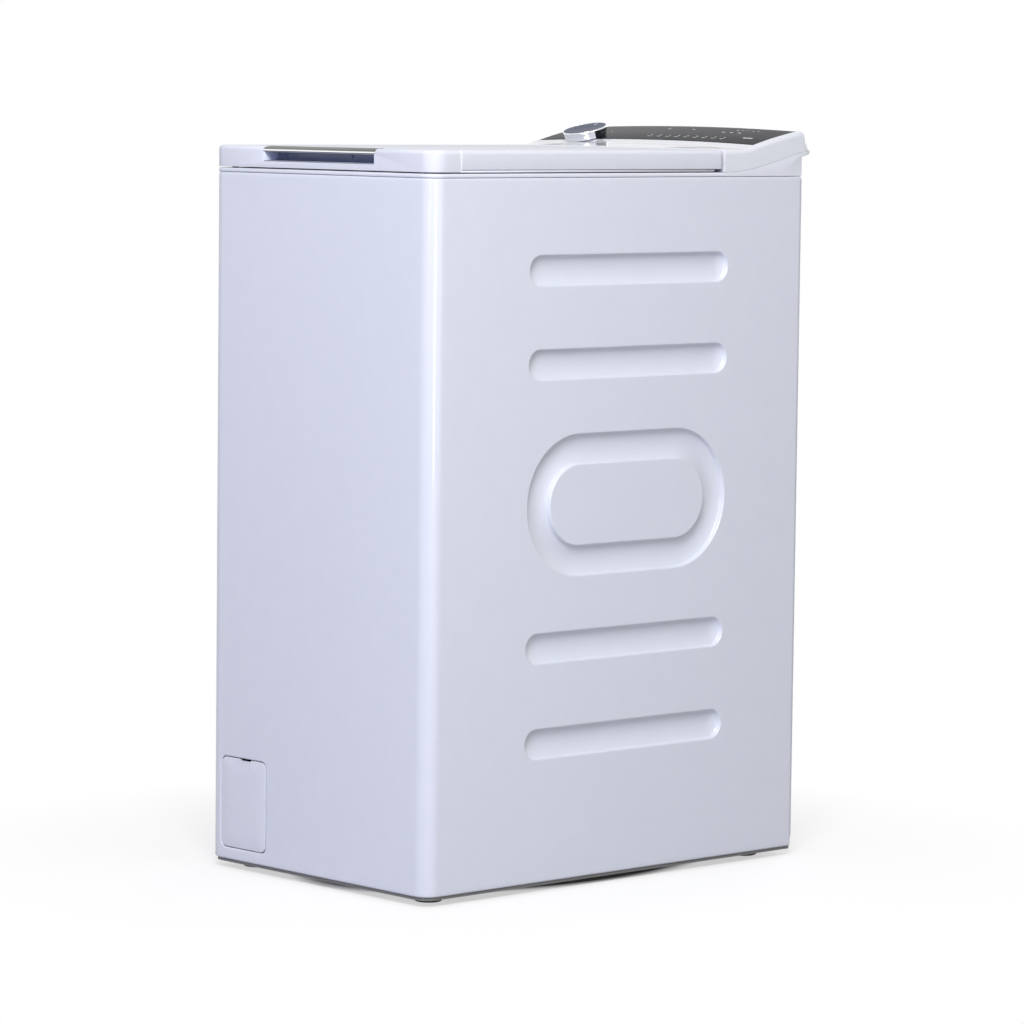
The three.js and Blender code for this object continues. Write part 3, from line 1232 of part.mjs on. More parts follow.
// ---------------------------------------------------------------- lid
const lidFoot = lidFrontBottom;
function lidRings(inset, bottom, top, edge) {
  const rings = [level(cabinetOutlineLid(inset), bottom)];
  for (let i = 0; i <= 3; i++) {
    const angle = quarter * i / 3;
    const shrink = inset + edge * (1 - Math.cos(angle));
    rings.push(level(cabinetOutlineLid(shrink), top - edge + edge * Math.sin(angle)));
  }
  return rings;
}
function cabinetOutlineLid(inset) {
  const front = Math.max(cornerRadius - inset, 1);
  const rear = Math.max(3 - inset, 0.8);
  return roundedOutline(-halfWidth + inset, halfWidth - inset, inset, lidRear - inset, [front, front, rear, rear]);
}
const handleCut = prism('x', [
  new THREE.Vector2(-2, handleBottom), new THREE.Vector2(handleDepth, handleBottom + 1),
  new THREE.Vector2(handleDepth, lidTop + 2), new THREE.Vector2(-2, lidTop + 2),
], handleLeft, handleRight);
const handleTopCut = block(handleLeft - 1, handleRight + 1, -2, trimTopDepth + fitGap, handleTopZ - 1, lidTop + 3);
const sideStep = block(-halfWidth - 1, halfWidth + 1, lidStepY, lidRear + 1, lidFoot - 1, lidSideBottom);
let lidShell = loft(lidRings(0, lidFoot, lidTop, lidEdgeRadius))
  .subtract(prism('z', cabinetOutlineLid(lidWall), lidFoot - 1, lidTop - lidWall));
// The front moulding draws in slightly towards the side panels, which stand proud behind it
const drawIn = (side) => prism('z', [
  new THREE.Vector2(side * (halfWidth + 1), cornerRadius), new THREE.Vector2(side * halfWidth, cornerRadius),
  new THREE.Vector2(side * (halfWidth - sideProud), lidStepY), new THREE.Vector2(side * (halfWidth + 1), lidStepY),
], lidFoot - 1, lidTop - lidEdgeRadius);
const handleOpening = block(handleLeft, handleRight, -2, lidWall + 2, handleBottom, lidTop + 2);
lidShell = cut(lidShell, sideStep, drawIn(-1), drawIn(1), handleOpening, handleTopCut);
// hinge cheeks beside each lug of the top frame
for (const side of [-1, 1]) {
  for (const face of [-1, 1]) {
    const near = side * hingeX + face * (lugHalf + cheekGap);
    const far = near + face * cheekThickness;
    const cheekSide = [
      [hingeY - 14, lidTop - 1], [hingeY - 14, lidTop - 5], [hingeY - 5, hingeZ - 5], [hingeY + 5, hingeZ - 5],
      [hingeY + 5, lidTop - 1],
    ].map(([y, z]) => new THREE.Vector2(y, z));
    lidShell = lidShell.add(prism('x', cheekSide, Math.min(near, far), Math.max(near, far)));
  }
  const middle = side * hingeX;
  const notch = lugHalf + cheekGap;
  lidShell = cut(
    lidShell,
    rod('x', [hingeY, hingeZ], hingePinRadius + fitGap, middle - 12, middle + 12, smallRound),
    block(middle - notch, middle + notch, lidRear - lidWall - 1, lidRear + 1, lidFoot - 1, lidTop - lidWall),
  );
}
place('lid_shell', lidShell, whitePlastic);
for (const [name, side] of [['hinge_pin_left', -1], ['hinge_pin_right', 1]]) {
  place(name, rod('x', [hingeY, hingeZ], hingePinRadius, side * hingeX - 8, side * hingeX + 8, smallRound), zinc);
}

// Handle cup, dark and open to the front, under a bent metal trim
function cupOutline(inset, front) {
  const bottom = handleBottom + fitGap + inset;
  const top = handleTopZ - 1 - inset;
  const rear = handleDepth - inset;
  return [[front, bottom], [rear - 5, bottom], [rear, bottom + 4.7], [rear, top], [front, top]]
    .map(([y, z]) => new THREE.Vector2(y, z));
}
place('handle_cup', cut(
  prism('x', cupOutline(0, 0.6), handleLeft + fitGap, handleRight - fitGap),
  prism('x', cupOutline(handleWall, -1), handleLeft + fitGap + handleWall, handleRight - fitGap - handleWall),
), darkPlastic);
const trimOutline = [
  [0, 0], [0, 1.6], [1.2, 4.2], [4, 5.6], [trimTopDepth, 5.9], [trimTopDepth, 4.3], [4.6, 4], [2.4, 3], [1.6, 1.2],
  [1.6, 0],
].map(([y, z]) => new THREE.Vector2(y, handleTopZ - 0.4 + z));
const trimBody = prism('x', trimOutline, handleLeft, handleRight);
const slant = (side) => {
  const edge = side < 0 ? handleLeft : handleRight;
  return prism('z', [
    new THREE.Vector2(edge, -3), new THREE.Vector2(edge - side * endSlant, trimTopDepth + 1),
    new THREE.Vector2(edge + side * 5, trimTopDepth + 1), new THREE.Vector2(edge + side * 5, -3),
  ], handleTopZ - 5, handleTopZ + 10);
};
place('handle_trim', cut(trimBody, slant(-1), slant(1)), brushed);

// Liner closes the lid's underside, with a rim, a sunk middle and the striker
const linerZ = lidSideBottom + 2.5;
const linerHalf = halfWidth - lidWall - fitGap;
const linerOutline = (inset) => roundedOutline(-linerHalf + inset, linerHalf - inset, handleDepth + 8 + inset,
  hingeY - 18 - inset, linerCorner);
let liner = cut(
  join(
    prism('z', linerOutline(0), linerZ, linerZ + linerWall),
    prism('z', linerOutline(8), linerZ, lidTop - lidWall - fitGap),
  ),
  prism('z', linerOutline(8 + linerWall), linerZ + linerWall, lidTop),
);
liner = liner.add(block(-5, 5, lockFront + 13, lockFront + 18, frameTop - 9, linerZ + 1));
// Rims under the lid's sides, which close the gap to the top frame
const rimBottom = lidFrontBottom - 0.2;
const rimTop = lidSideBottom - 0.9;
const rimEnd = hingeY - 6;
for (const side of [-1, 1]) {
  const across = (a, b) => [Math.min(side * a, side * b), Math.max(side * a, side * b)];
  const inner = halfWidth - rimWidth;
  liner = join(
    liner,
    block(...across(inner, halfWidth - 0.4), lidStepY + fitGap, rimEnd, rimBottom, rimTop),
    block(...across(inner, halfWidth - lidWall - fitGap), lidStepY + fitGap, hingeY - 20, rimBottom, linerZ + 1),
  );
}
place('lid_liner', liner, whitePlastic);

// Dispenser under the liner: three compartments open to the rear, where they face up once the lid stands
const dispenserHalf = neckHalfWidth - dispenserMargin;
const dispenserFront = mouthFront + dispenserSetback;
const dispenserRear = mouthRear - dispenserSetback;
const dispenserTop = linerZ - fitGap;
const dispenserFloor = dispenserTop - dispenserDrop;
const dispenserRing = (z, inset) => level(roundedOutline(-dispenserHalf + inset, dispenserHalf - inset,
  dispenserFront + inset, dispenserRear - inset, dispenserCorner), z);
const dispenserBody = loft([
  dispenserRing(dispenserFloor, 7), dispenserRing(dispenserFloor + 6, 2), dispenserRing(dispenserTop, 0),
]);
const cell = (x0, x1) => prism('z', roundedOutline(x0, x1, dispenserFront + dispenserWall,
  dispenserRear - dispenserRearWall, dispenserCorner - 4), dispenserFloor - 1, dispenserTop - 2.5);
const middleCell = middleCellWidth / 2;
const sideCell = middleCell + partition;
place('dispenser', cut(dispenserBody, cell(-dispenserHalf + dispenserWall, -sideCell), cell(-middleCell, middleCell),
  cell(sideCell, dispenserHalf - dispenserWall)), tubPlastic);

// ---------------------------------------------------------------- what comes out at the rear
const inletEnd = cabinetDepth + inletReach;
const valveBore = valveRadius - valveWall;
const stemY = rearInner - 38;
place('inlet_valve', cut(
  join(
    turned('y', [
      [0, rearInner - 44], [valveRadius + 4, rearInner - 44], [valveRadius + 4, rearInner - fitGap],
      [valveRadius, rearInner - fitGap], [valveRadius, inletEnd], [valveBore, inletEnd], [valveBore, inletEnd - 8],
      [0, inletEnd - 8],
    ], [valveX, valveZ]),
    block(valveX - 14, valveX + 14, rearInner - 62, rearInner - 30, valveZ - 4, valveZ + 34),
    rod('z', [valveX, stemY], 8, valveZ - 40, valveZ, smallRound),
  ),
  rod('z', [valveX, stemY], 5.5, valveZ - 41, valveZ - 16, smallRound),
), tubPlastic);
const glandFlange = glandRadius + 3;
place('cable_gland', turned('y', [
  [cableRadius, rearInner - 8], [glandFlange, rearInner - 8], [glandFlange, rearInner - fitGap],
  [glandRadius, rearInner - fitGap], [glandRadius, cabinetDepth + fitGap], [glandFlange, cabinetDepth + fitGap],
  [glandFlange - 2, cabinetDepth + 7], [cableRadius, cabinetDepth + 8],
], [glandX, glandZ], smallRound), darkPlastic);
const outletEnd = cabinetDepth + outletReach;
const outletBore = outletRadius - 4;
place('drain_outlet', turned('y', [
  [outletBore, rearInner - 30], [outletRadius, rearInner - 30], [outletRadius, rearInner - 8],
  [outletRadius + 5, rearInner - 8], [outletRadius + 5, rearInner - fitGap], [outletRadius, rearInner - fitGap],
  [outletRadius, outletEnd - 2], [outletRadius - 2, outletEnd], [outletBore, outletEnd],
], [outletX, outletZ]), greyPlastic);

// The origin is the centre of the footprint, on the floor.
washer.position.y = -consoleRear / 2;
export default washer;
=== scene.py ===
import math
import bpy
import bmesh
from mathutils import Matrix, Vector


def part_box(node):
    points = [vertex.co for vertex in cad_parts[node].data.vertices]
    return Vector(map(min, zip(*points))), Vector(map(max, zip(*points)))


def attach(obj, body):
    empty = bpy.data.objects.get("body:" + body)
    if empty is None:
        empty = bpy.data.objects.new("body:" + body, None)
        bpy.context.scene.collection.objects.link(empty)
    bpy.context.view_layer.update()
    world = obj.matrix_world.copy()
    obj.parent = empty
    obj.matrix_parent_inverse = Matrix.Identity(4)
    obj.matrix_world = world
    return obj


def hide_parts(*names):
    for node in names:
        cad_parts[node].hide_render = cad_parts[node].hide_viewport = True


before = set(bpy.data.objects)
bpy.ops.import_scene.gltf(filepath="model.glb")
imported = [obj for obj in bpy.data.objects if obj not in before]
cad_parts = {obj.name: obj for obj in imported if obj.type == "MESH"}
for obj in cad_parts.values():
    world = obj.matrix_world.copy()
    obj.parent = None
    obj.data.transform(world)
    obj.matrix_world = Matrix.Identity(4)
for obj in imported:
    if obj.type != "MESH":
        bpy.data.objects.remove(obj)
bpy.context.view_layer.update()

# ---------------------------------------------------------------- camera
# A long lens a little above the machine's top, turned so that the front and the right side
# show together. Lengths in this part are in metres.
scene = bpy.context.scene
azimuth, elevation, roll = (math.radians(degrees) for degrees in (47.277, 5.236, 0.664))
back = Vector((math.sin(azimuth) * math.cos(elevation), -math.cos(azimuth) * math.cos(elevation),
               math.sin(elevation)))
level_right = (-back).cross(Vector((0, 0, 1))).normalized()
level_up = level_right.cross(-back)
right = math.cos(roll) * level_right + math.sin(roll) * level_up
up = -math.sin(roll) * level_right + math.cos(roll) * level_up
lens = bpy.data.cameras.new("camera")
lens.lens = 161.49
lens.sensor_width = 36
lens.clip_end = 60
camera = bpy.data.objects.new("camera", lens)
camera.matrix_world = Matrix((
    (right.x, up.x, back.x, 4.1403),
    (right.y, up.y, back.y, -3.8211),
    (right.z, up.z, back.z, 0.9487),
    (0, 0, 0, 1),
))
scene.collection.objects.link(camera)
scene.camera = camera

# ---------------------------------------------------------------- floor, backdrop light and lamps
# A pale studio floor that runs out to white, but keeps its own shade under the machine, a white
# surround, and soft lamps: a high key ahead to the right, weak fills all round, and two that
# show only as reflections on the corner and the side.
scene.view_settings.view_transform = "Standard"
white = (1, 1, 1, 1)


def shader_tree(name):
    material = bpy.data.materials.new(name)
    material.use_nodes = True
    tree = material.node_tree
    return material, tree, tree.nodes.get("Principled BSDF")


def set_sockets(tree, node, sockets):
    """Gives a node's inputs their constants, or links them to another node's output."""
    for key, value in sockets.items():
        if isinstance(value, bpy.types.NodeSocket):
            tree.links.new(value, node.inputs[key])
        else:
            node.inputs[key].default_value = value


def add_node(tree, kind, sockets=None, operation=None):
    node = tree.nodes.new("ShaderNode" + kind)
    if operation:
        node.operation = operation
    set_sockets(tree, node, sockets or {})
    return node


def white_for_camera(tree, seen, own):
    """Mixes two shaders so that the lens, mirrors and glass see the plain white one."""
    path = add_node(tree, "LightPath")
    any_of = path.outputs["Is Camera Ray"]
    for ray in ("Is Glossy Ray", "Is Transmission Ray"):
        any_of = add_node(tree, "Math", {0: any_of, 1: path.outputs[ray]}, "MAXIMUM").outputs[0]
    return add_node(tree, "MixShader", {0: any_of, 1: own.outputs[0], 2: seen.outputs[0]}).outputs[0]


world = bpy.data.worlds.new("studio")
world.use_nodes = True
scene.world = world
room = world.node_tree
ambient = room.nodes["Background"]
set_sockets(room, ambient, {"Color": white, "Strength": 0.37})
surround = add_node(room, "Background", {"Color": white, "Strength": 1.0})
set_sockets(room, room.nodes["World Output"], {"Surface": white_for_camera(room, surround, ambient)})

floor_material, tree, shader = shader_tree("studio_floor")
set_sockets(tree, shader, {"Base Color": (0.9, 0.9, 0.91, 1), "Roughness": 0.9, "Specular IOR Level": 0.1})
bounce = add_node(tree, "BsdfDiffuse", {"Color": (0.46, 0.46, 0.46, 1)})
plain = add_node(tree, "Emission", {"Color": white, "Strength": 1.0})
place_in_room = add_node(tree, "NewGeometry").outputs["Position"]
spread = add_node(tree, "VectorMath", {0: place_in_room}, "LENGTH")
fade = add_node(tree, "MapRange", {"Value": spread.outputs["Value"], "From Min": 0.3, "From Max": 0.75,
                                   "To Min": 0.55, "To Max": 1.0})
footprint = add_node(tree, "VectorMath", {0: place_in_room, 1: (1.56, 1, 0)}, "MULTIPLY")
from_middle = add_node(tree, "VectorMath", {0: footprint.outputs["Vector"]}, "LENGTH")
beside = add_node(tree, "MapRange", {"Value": from_middle.outputs["Value"], "From Min": 0.28, "From Max": 0.31})
plain_share = add_node(tree, "Math", {0: fade.outputs["Result"], 1: beside.outputs["Result"]}, "MULTIPLY")
floor_mix = add_node(tree, "MixShader", {0: plain_share.outputs["Value"], 1: shader.outputs[0],
                                         2: plain.outputs[0]})
set_sockets(tree, tree.nodes["Material Output"], {"Surface": white_for_camera(tree, floor_mix, bounce)})

floor_mesh = bpy.data.meshes.new("studio_floor")
reach = 14
floor_mesh.from_pydata([(-reach, -reach, 0), (reach, -reach, 0), (reach, reach, 0), (-reach, reach, 0)], [],
                       [(0, 1, 2, 3)])
floor_mesh.materials.append(floor_material)
studio_floor = bpy.data.objects.new("studio_floor", floor_mesh)
scene.collection.objects.link(studio_floor)


def soft_lamp(name, place, aim, width, height, power, tint=(1, 1, 1)):
    lamp = bpy.data.lights.new(name, "AREA")
    lamp.shape = "RECTANGLE"
    lamp.size = width
    lamp.size_y = height
    lamp.energy = power
    lamp.color = tint
    holder = bpy.data.objects.new(name, lamp)
    holder.location = place
    holder.rotation_euler = (Vector(aim) - Vector(place)).to_track_quat("-Z", "Y").to_euler()
    scene.collection.objects.link(holder)
    return holder


soft_lamp("high_key", (2.2, -2.2, 2.9), (0.1, -0.1, 0.5), 1.3, 1.3, 129, (1.0, 1.0, 0.96))
soft_lamp("side_key", (3.0, 0.3, 2.9), (0.2, 0, 0.45), 1.2, 1.2, 7)
soft_lamp("low_fill", (1.5, -3.4, 1.15), (0.1, -0.2, 0.6), 1.0, 1.0, 24, (0.44, 0.47, 1.0))
soft_lamp("left_fill", (-3.6, -2.6, 1.6), (0, 0, 0.45), 1.6, 1.6, 4, (0.75, 0.92, 1.0))
soft_lamp("rear_fill", (-1.8, 4.0, 0.95), (0, 0, 0.6), 2.0, 1.4, 60)
corner_strip = soft_lamp("corner_strip", (1.63, -0.97, 0.68), (0.18, -0.29, 0.68), 0.14, 0.6, 8)
side_glow = soft_lamp("side_glow", (2.3, -0.1, 0.8), (0.19, -0.3, 0.7), 0.6, 0.9, 4)
for highlight in (corner_strip, side_glow):
    highlight.visible_diffuse = False
    highlight.visible_camera = False

# ---------------------------------------------------------------- cabinet wrap
# One sheet of steel folded round the front and both sides, with stamped stiffening grooves in
# each side, edges folded inwards at top and bottom, and a hole for the filter flap. White
# powder paint with a very fine orange peel. From here on lengths are in millimetres.
front_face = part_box("cabinet_wrap")[0][1]


def at(x, y, z):
    """A point in metres from millimetres: x from the middle, y from the front face, z from the floor."""
    return Vector((x / 1000, front_face + y / 1000, z / 1000))


def tidy_mesh(mesh, smooth_angle=35):
    """Merges doubled points, turns faces outwards and keeps hard edges."""
    bm = bmesh.new()
    bm.from_mesh(mesh)
    bmesh.ops.remove_doubles(bm, verts=bm.verts, dist=2e-6)
    bmesh.ops.recalc_face_normals(bm, faces=bm.faces)
    for face in bm.faces:
        face.smooth = True
    for edge in bm.edges:
        edge.smooth = len(edge.link_faces) == 2 and edge.calc_face_angle(0) < math.radians(smooth_angle)
    bm.to_mesh(mesh)
    bm.free()
    mesh.update()


def piece_of(name, mesh, material=None, smooth_angle=35):
    tidy_mesh(mesh, smooth_angle)
    piece = bpy.data.objects.new(name, mesh)
    scene.collection.objects.link(piece)
    if material:
        mesh.materials.append(material)
    return piece


def new_piece(name, points, faces, material=None, smooth_angle=35):
    mesh = bpy.data.meshes.new(name)
    mesh.from_pydata([at(*p) for p in points], [], faces)
    return piece_of(name, mesh, material, smooth_angle)


def skin(rows, closed_round=False, close_ends=False, closed_rows=False, close_last=False):
    """Points and faces of a skin over rows of equal length."""
    count, total = len(rows[0]), len(rows)
    points = [p for row in rows for p in row]
    faces = []
    for r in range(total if closed_rows else total - 1):
        s = (r + 1) % total
        for i in range(count if closed_round else count - 1):
            j = (i + 1) % count
            faces.append((r * count + i, r * count + j, s * count + j, s * count + i))
    if close_ends:
        faces.append(tuple(range(count)))
    if close_ends or close_last:
        faces.append(tuple((total - 1) * count + i for i in range(count)))
    return points, faces


def apply_modifiers(piece, smooth_angle=35):
    baked = bpy.data.meshes.new_from_object(piece.evaluated_get(bpy.context.evaluated_depsgraph_get()))
    piece.modifiers.clear()
    piece.data = baked
    tidy_mesh(baked, smooth_angle)


def thicken(piece, thickness, smooth_angle=35):
    """Gives a skin its sheet thickness on the inner side."""
    solid = piece.modifiers.new("thickness", "SOLIDIFY")
    solid.thickness = thickness / 1000
    solid.offset = -1
    solid.use_even_offset = True
    apply_modifiers(piece, smooth_angle)


def noisy(tree, scale, detail=3.0, roughness=0.5, stretch=None):
    """A noise in object space, stretched along an axis for brushed grain."""
    place = add_node(tree, "TexCoord").outputs["Object"]
    if stretch:
        place = add_node(tree, "Mapping", {"Vector": place, "Scale": stretch}).outputs["Vector"]
    return add_node(tree, "TexNoise", {"Vector": place, "Scale": scale, "Detail": detail,
                                       "Roughness": roughness}).outputs["Fac"]


def linear(red, green, blue):
    """Display colour 0-255 to the renderer's linear values."""
    return tuple(((c / 255 + 0.055) / 1.055) ** 2.4 if c > 10 else c / 255 / 12.92 for c in (red, green, blue))


def toned(name, low, high, rough, noise, sockets):
    """A finish whose colour and roughness wander between two close values with one noise."""
    material, tree, shader = shader_tree(name)
    factor = noisy(tree, *noise)
    ramp = add_node(tree, "ValToRGB", {"Fac": factor})
    ramp.color_ramp.interpolation = "EASE"
    for stop, position, tone in zip(ramp.color_ramp.elements, (0.1, 0.9), (low, high)):
        stop.position = position
        stop.color = (*linear(*tone), 1)
    span = add_node(tree, "MapRange", {"Value": factor, "To Min": rough[0], "To Max": rough[1]})
    set_sockets(tree, shader, {"Base Color": ramp.outputs["Color"], "Roughness": span.outputs["Result"],
                               **sockets})
    return material, tree, shader, factor


def grain(tree, shader, factor, strength, distance):
    bump = add_node(tree, "Bump", {"Height": factor, "Strength": strength, "Distance": distance})
    set_sockets(tree, shader, {"Normal": bump.outputs["Normal"]})


def surface(name, low, high, rough, patch=6.0, grain_scale=0, grain_strength=0.1, grain_depth=0.0002,
            metallic=0.0, coat=0.0, specular=0.5, stretch=None):
    """A procedural finish: two close tones, uneven roughness and a fine grain."""
    material, tree, shader, _ = toned(name, low, high, rough, (patch, 6, 0.6), {
        "Metallic": metallic, "Coat Weight": coat, "Coat Roughness": 0.06, "Specular IOR Level": specular})
    if grain_scale:
        grain(tree, shader, noisy(tree, grain_scale, 2, 0.5, stretch), grain_strength, grain_depth)
    return material


def finished(piece, body, slot, *nodes):
    """Says which body the piece moves with and which frame parts it stands for; the slot, a finish name, is not used.
    """
    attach(piece, body)
    if nodes:
        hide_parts(*nodes)
    return piece


powder_paint = surface("white_powder_paint", (209, 212, 224), (212, 215, 226), (0.3, 0.36), 38,
                       650, 0.05, 0.00005, coat=0.25, specular=0.36)

half_width = 200.0
cabinet_bottom = 12.0
cabinet_top = 848.0
wrap_rear = 610.7
corner_radius = 20.0
corner_steps = 14
fold = 17.0

groove_middle_y = 319.0
groove_length = 327.0
groove_height = 35.0
oval_z = 460.0
oval_height = 168.0
groove_heights = [oval_z + offset for offset in (-282, -168, 168, 279)]
lip_start, lip_end = -1.4, 2.2
lip_depth = 5.2
groove_depth = 8.4


def channel_depth(inside):
    """Depth of a stamped groove at a distance inside its edge: a rolled lip, then a hollow floor."""
    if inside <= lip_start:
        return 0.0
    if inside < lip_end:
        t = (inside - lip_start) / (lip_end - lip_start)
        return lip_depth * t * t * (3 - 2 * t)
    rest = (groove_height / 2 - inside) / (groove_height / 2 - lip_end)
    return lip_depth + (groove_depth - lip_depth) * (1 - rest * rest)


channel_steps = [-3, -1.4, -1.15, -0.9, -0.6, -0.3, 0, 0.3, 0.6, 0.9, 1.2, 1.5, 1.8, 2.2, 3.5, 5.5, 8, 11, 14]


def stadium(centre_z, height, inside, arc_steps):
    """Points (y, z) of a groove's outline moved inwards."""
    radius = height / 2 - inside
    half = (groove_length - height) / 2
    ring = []
    for centre, start in ((half, -90), (-half, 90)):
        for i in range(arc_steps + 1):
            angle = math.radians(start + 180 * i / arc_steps)
            ring.append((groove_middle_y + centre + radius * math.cos(angle),
                         centre_z + radius * math.sin(angle)))
    return ring


def panel_with_holes(bm, corners, rings):
    """Fills the flat between a panel's corner vertices and the rings of its openings."""
    edges = []
    for loop in [corners] + rings:
        for vert, other in zip(loop, loop[1:] + loop[:1]):
            edges.append(bm.edges.get((vert, other)) or bm.edges.new((vert, other)))
    bmesh.ops.triangle_fill(bm, use_beauty=True, use_dissolve=False, edges=edges)


def ring_verts(bm, points):
    return [bm.verts.new(at(*p)) for p in points]


def bridge_rings(bm, rings):
    for ring_a, ring_b in zip(rings, rings[1:]):
        for i in range(len(ring_a)):
            j = (i + 1) % len(ring_a)
            bm.faces.new((ring_a[i], ring_a[j], ring_b[j], ring_b[i]))


def pressed(bm, rings):
    """Joins the rings of a pressed form, closes its floor and returns its outer ring."""
    bridge_rings(bm, rings)
    panel_with_holes(bm, rings[-1], [])
    return rings[0]


def groove(bm, side, centre_z, height, insets, arc_steps):
    return pressed(bm, [ring_verts(bm, [
        (side * (half_width - channel_depth(min(s, groove_height - s))), y, z)
        for y, z in stadium(centre_z, height, s, arc_steps)]) for s in insets])


def rounded_rectangle(x0, x1, y0, y1, radius, steps=8, grow=0):
    """Points of a rounded rectangle, anticlockwise; radius is one value or four from the low-low corner."""
    x0, x1, y0, y1 = x0 - grow, x1 + grow, y0 - grow, y1 + grow
    radii = radius if isinstance(radius, (list, tuple)) else [radius] * 4
    centres = [(x0 + radii[0], y0 + radii[0]), (x1 - radii[1], y0 + radii[1]),
               (x1 - radii[2], y1 - radii[2]), (x0 + radii[3], y1 - radii[3])]
    points = []
    for k, ((cx, cy), r) in enumerate(zip(centres, radii)):
        for i in range(steps + 1):
            angle = math.pi / 2 * (k + 2 + i / steps)
            points.append((cx + r * math.cos(angle), cy + r * math.sin(angle)))
    return points


def upright(outline, y):
    return [(x, y, z) for x, z in outline]


def sheet_piece(bm, name, thickness, smooth_angle=35):
    """A painted sheet of even thickness from the skin that has been built up."""
    mesh = bpy.data.meshes.new(name)
    bm.to_mesh(mesh)
    bm.free()
    sheet = piece_of(name, mesh, powder_paint, smooth_angle)
    thicken(sheet, thickness, smooth_angle)
    return sheet


flap_left, flap_right, flap_bottom, flap_top, flap_corner = -175.5, -92.5, 27.5, 137.5, 9.0
flap_gap = 0.8

# The sheet's columns run from the left rear fold round the front: place, and direction inwards.
wrap_columns = [(-half_width + fold, wrap_rear, 0, -1), (-half_width + 1.2, wrap_rear, 0.7, -0.7),
                (-half_width, wrap_rear - 1.2, 1, 0), (-half_width, wrap_rear - 4, 1, 0),
                (-half_width, 24, 1, 0)]
for i in range(corner_steps + 1):
    angle = math.pi / 2 * i / corner_steps
    nx, ny = math.cos(angle), math.sin(angle)
    wrap_columns.append((-half_width + corner_radius * (1 - nx), corner_radius * (1 - ny), nx, ny))
wrap_columns += [(-179.2, 0, 0, 1), (179.2, 0, 0, 1)]
wrap_columns += [(-x, y, -nx, ny) for x, y, nx, ny in reversed(wrap_columns[:-2])]
# Its rows run upwards: distance inwards, and height.
lower_rows = [(fold, 0), (2.2, 0), (0.9, 0.35), (0.25, 1), (0, 2.2), (0, 6)]
wrap_rows = [(inset, cabinet_bottom + rise) for inset, rise in lower_rows]
wrap_rows += [(inset, cabinet_top - rise) for inset, rise in reversed(lower_rows)]
lower_flat, upper_flat = 5, 6
side_columns = [(3, 4), (len(wrap_columns) - 5, len(wrap_columns) - 4)]
front_columns = (len(wrap_columns) // 2 - 1, len(wrap_columns) // 2)

bm = bmesh.new()
grid = [[bm.verts.new(at(x + nx * inset, y + ny * inset, z)) for x, y, nx, ny in wrap_columns]
        for inset, z in wrap_rows]
for r in range(len(grid) - 1):
    for c in range(len(wrap_columns) - 1):
        if r == lower_flat and (c, c + 1) in side_columns + [front_columns]:
            continue
        bm.faces.new((grid[r][c], grid[r][c + 1], grid[r + 1][c + 1], grid[r + 1][c]))


def flat_corners(low, high):
    return [grid[lower_flat][low], grid[lower_flat][high], grid[upper_flat][high], grid[upper_flat][low]]


for side, columns in zip((-1, 1), side_columns):
    holes = [groove(bm, side, z, groove_height, channel_steps + [16.5], 14) for z in groove_heights]
    across_ring = channel_steps + [17.5] + [groove_height - s for s in reversed(channel_steps)]
    holes.append(groove(bm, side, oval_z, oval_height, across_ring, 40))
    panel_with_holes(bm, flat_corners(*columns), holes)
flap_hole = (flap_left - flap_gap, flap_right + flap_gap, flap_bottom - flap_gap, flap_top + flap_gap)
hole_rings = [ring_verts(bm, upright(rounded_rectangle(*flap_hole, flap_corner + grow, grow=grow), depth))
              for grow, depth in ((2.3, 0), (1.8, 0.03), (1.2, 0.2), (0.7, 0.5), (0.3, 0.95), (0, 1.7))]
bridge_rings(bm, hole_rings)
panel_with_holes(bm, flat_corners(*front_columns), [hole_rings[0]])
finished(sheet_piece(bm, "cabinet_sheet", 1.1, 50), "cabinet", "white_paint", "cabinet_wrap")

# ---------------------------------------------------------------- rear panel and service cover
# A flat steel sheet with two pressed beads closes the back; a domed cover over the service
# opening is held by screws. Same powder paint; the screws are zinc plated.
rear_face = 612.0


def spot(axis, a, b, along):
    return {"x": (along, a, b), "y": (a, along, b), "z": (a, b, along)}[axis]


def prism(axis, outline, start, end):
    """Points and faces of an outline pushed along an axis; outline points are the other two values."""
    return skin([[spot(axis, *p, along) for p in outline] for along in sorted((start, end))], True, True)


def block(x0, x1, y0, y1, z0, z1):
    return prism("x", [(y0, z0), (y1, z0), (y1, z1), (y0, z1)], x0, x1)


def turned(axis, profile, centre, segments=48, closed=True):
    """Points and faces of a turned form: profile points are (radius, place along the axis)."""
    rows = []
    for i in range(segments):
        angle = 2 * math.pi * i / segments
        rows.append([spot(axis, centre[0] + radius * math.cos(angle), centre[1] + radius * math.sin(angle), along)
                     for radius, along in profile])
    return skin(rows, closed, closed_rows=True)


def several(*forms):
    """Joins separate forms into the points and faces of one piece."""
    points, faces = [], []
    for form_points, form_faces in forms:
        start = len(points)
        points += form_points
        faces += [tuple(start + i for i in face) for face in form_faces]
    return points, faces


def carve(piece, cuts=(), adds=(), smooth_angle=35):
    """Joins forms to a piece, then takes forms away from it."""
    tools = []
    for operation, forms in (("UNION", adds), ("DIFFERENCE", cuts)):
        for form in forms:
            tool = new_piece("cutter", *form)
            tools.append(tool)
            change = piece.modifiers.new("carve", "BOOLEAN")
            change.operation = operation
            change.solver = "EXACT"
            change.object = tool
    apply_modifiers(piece, smooth_angle)
    for tool in tools:
        bpy.data.objects.remove(tool)


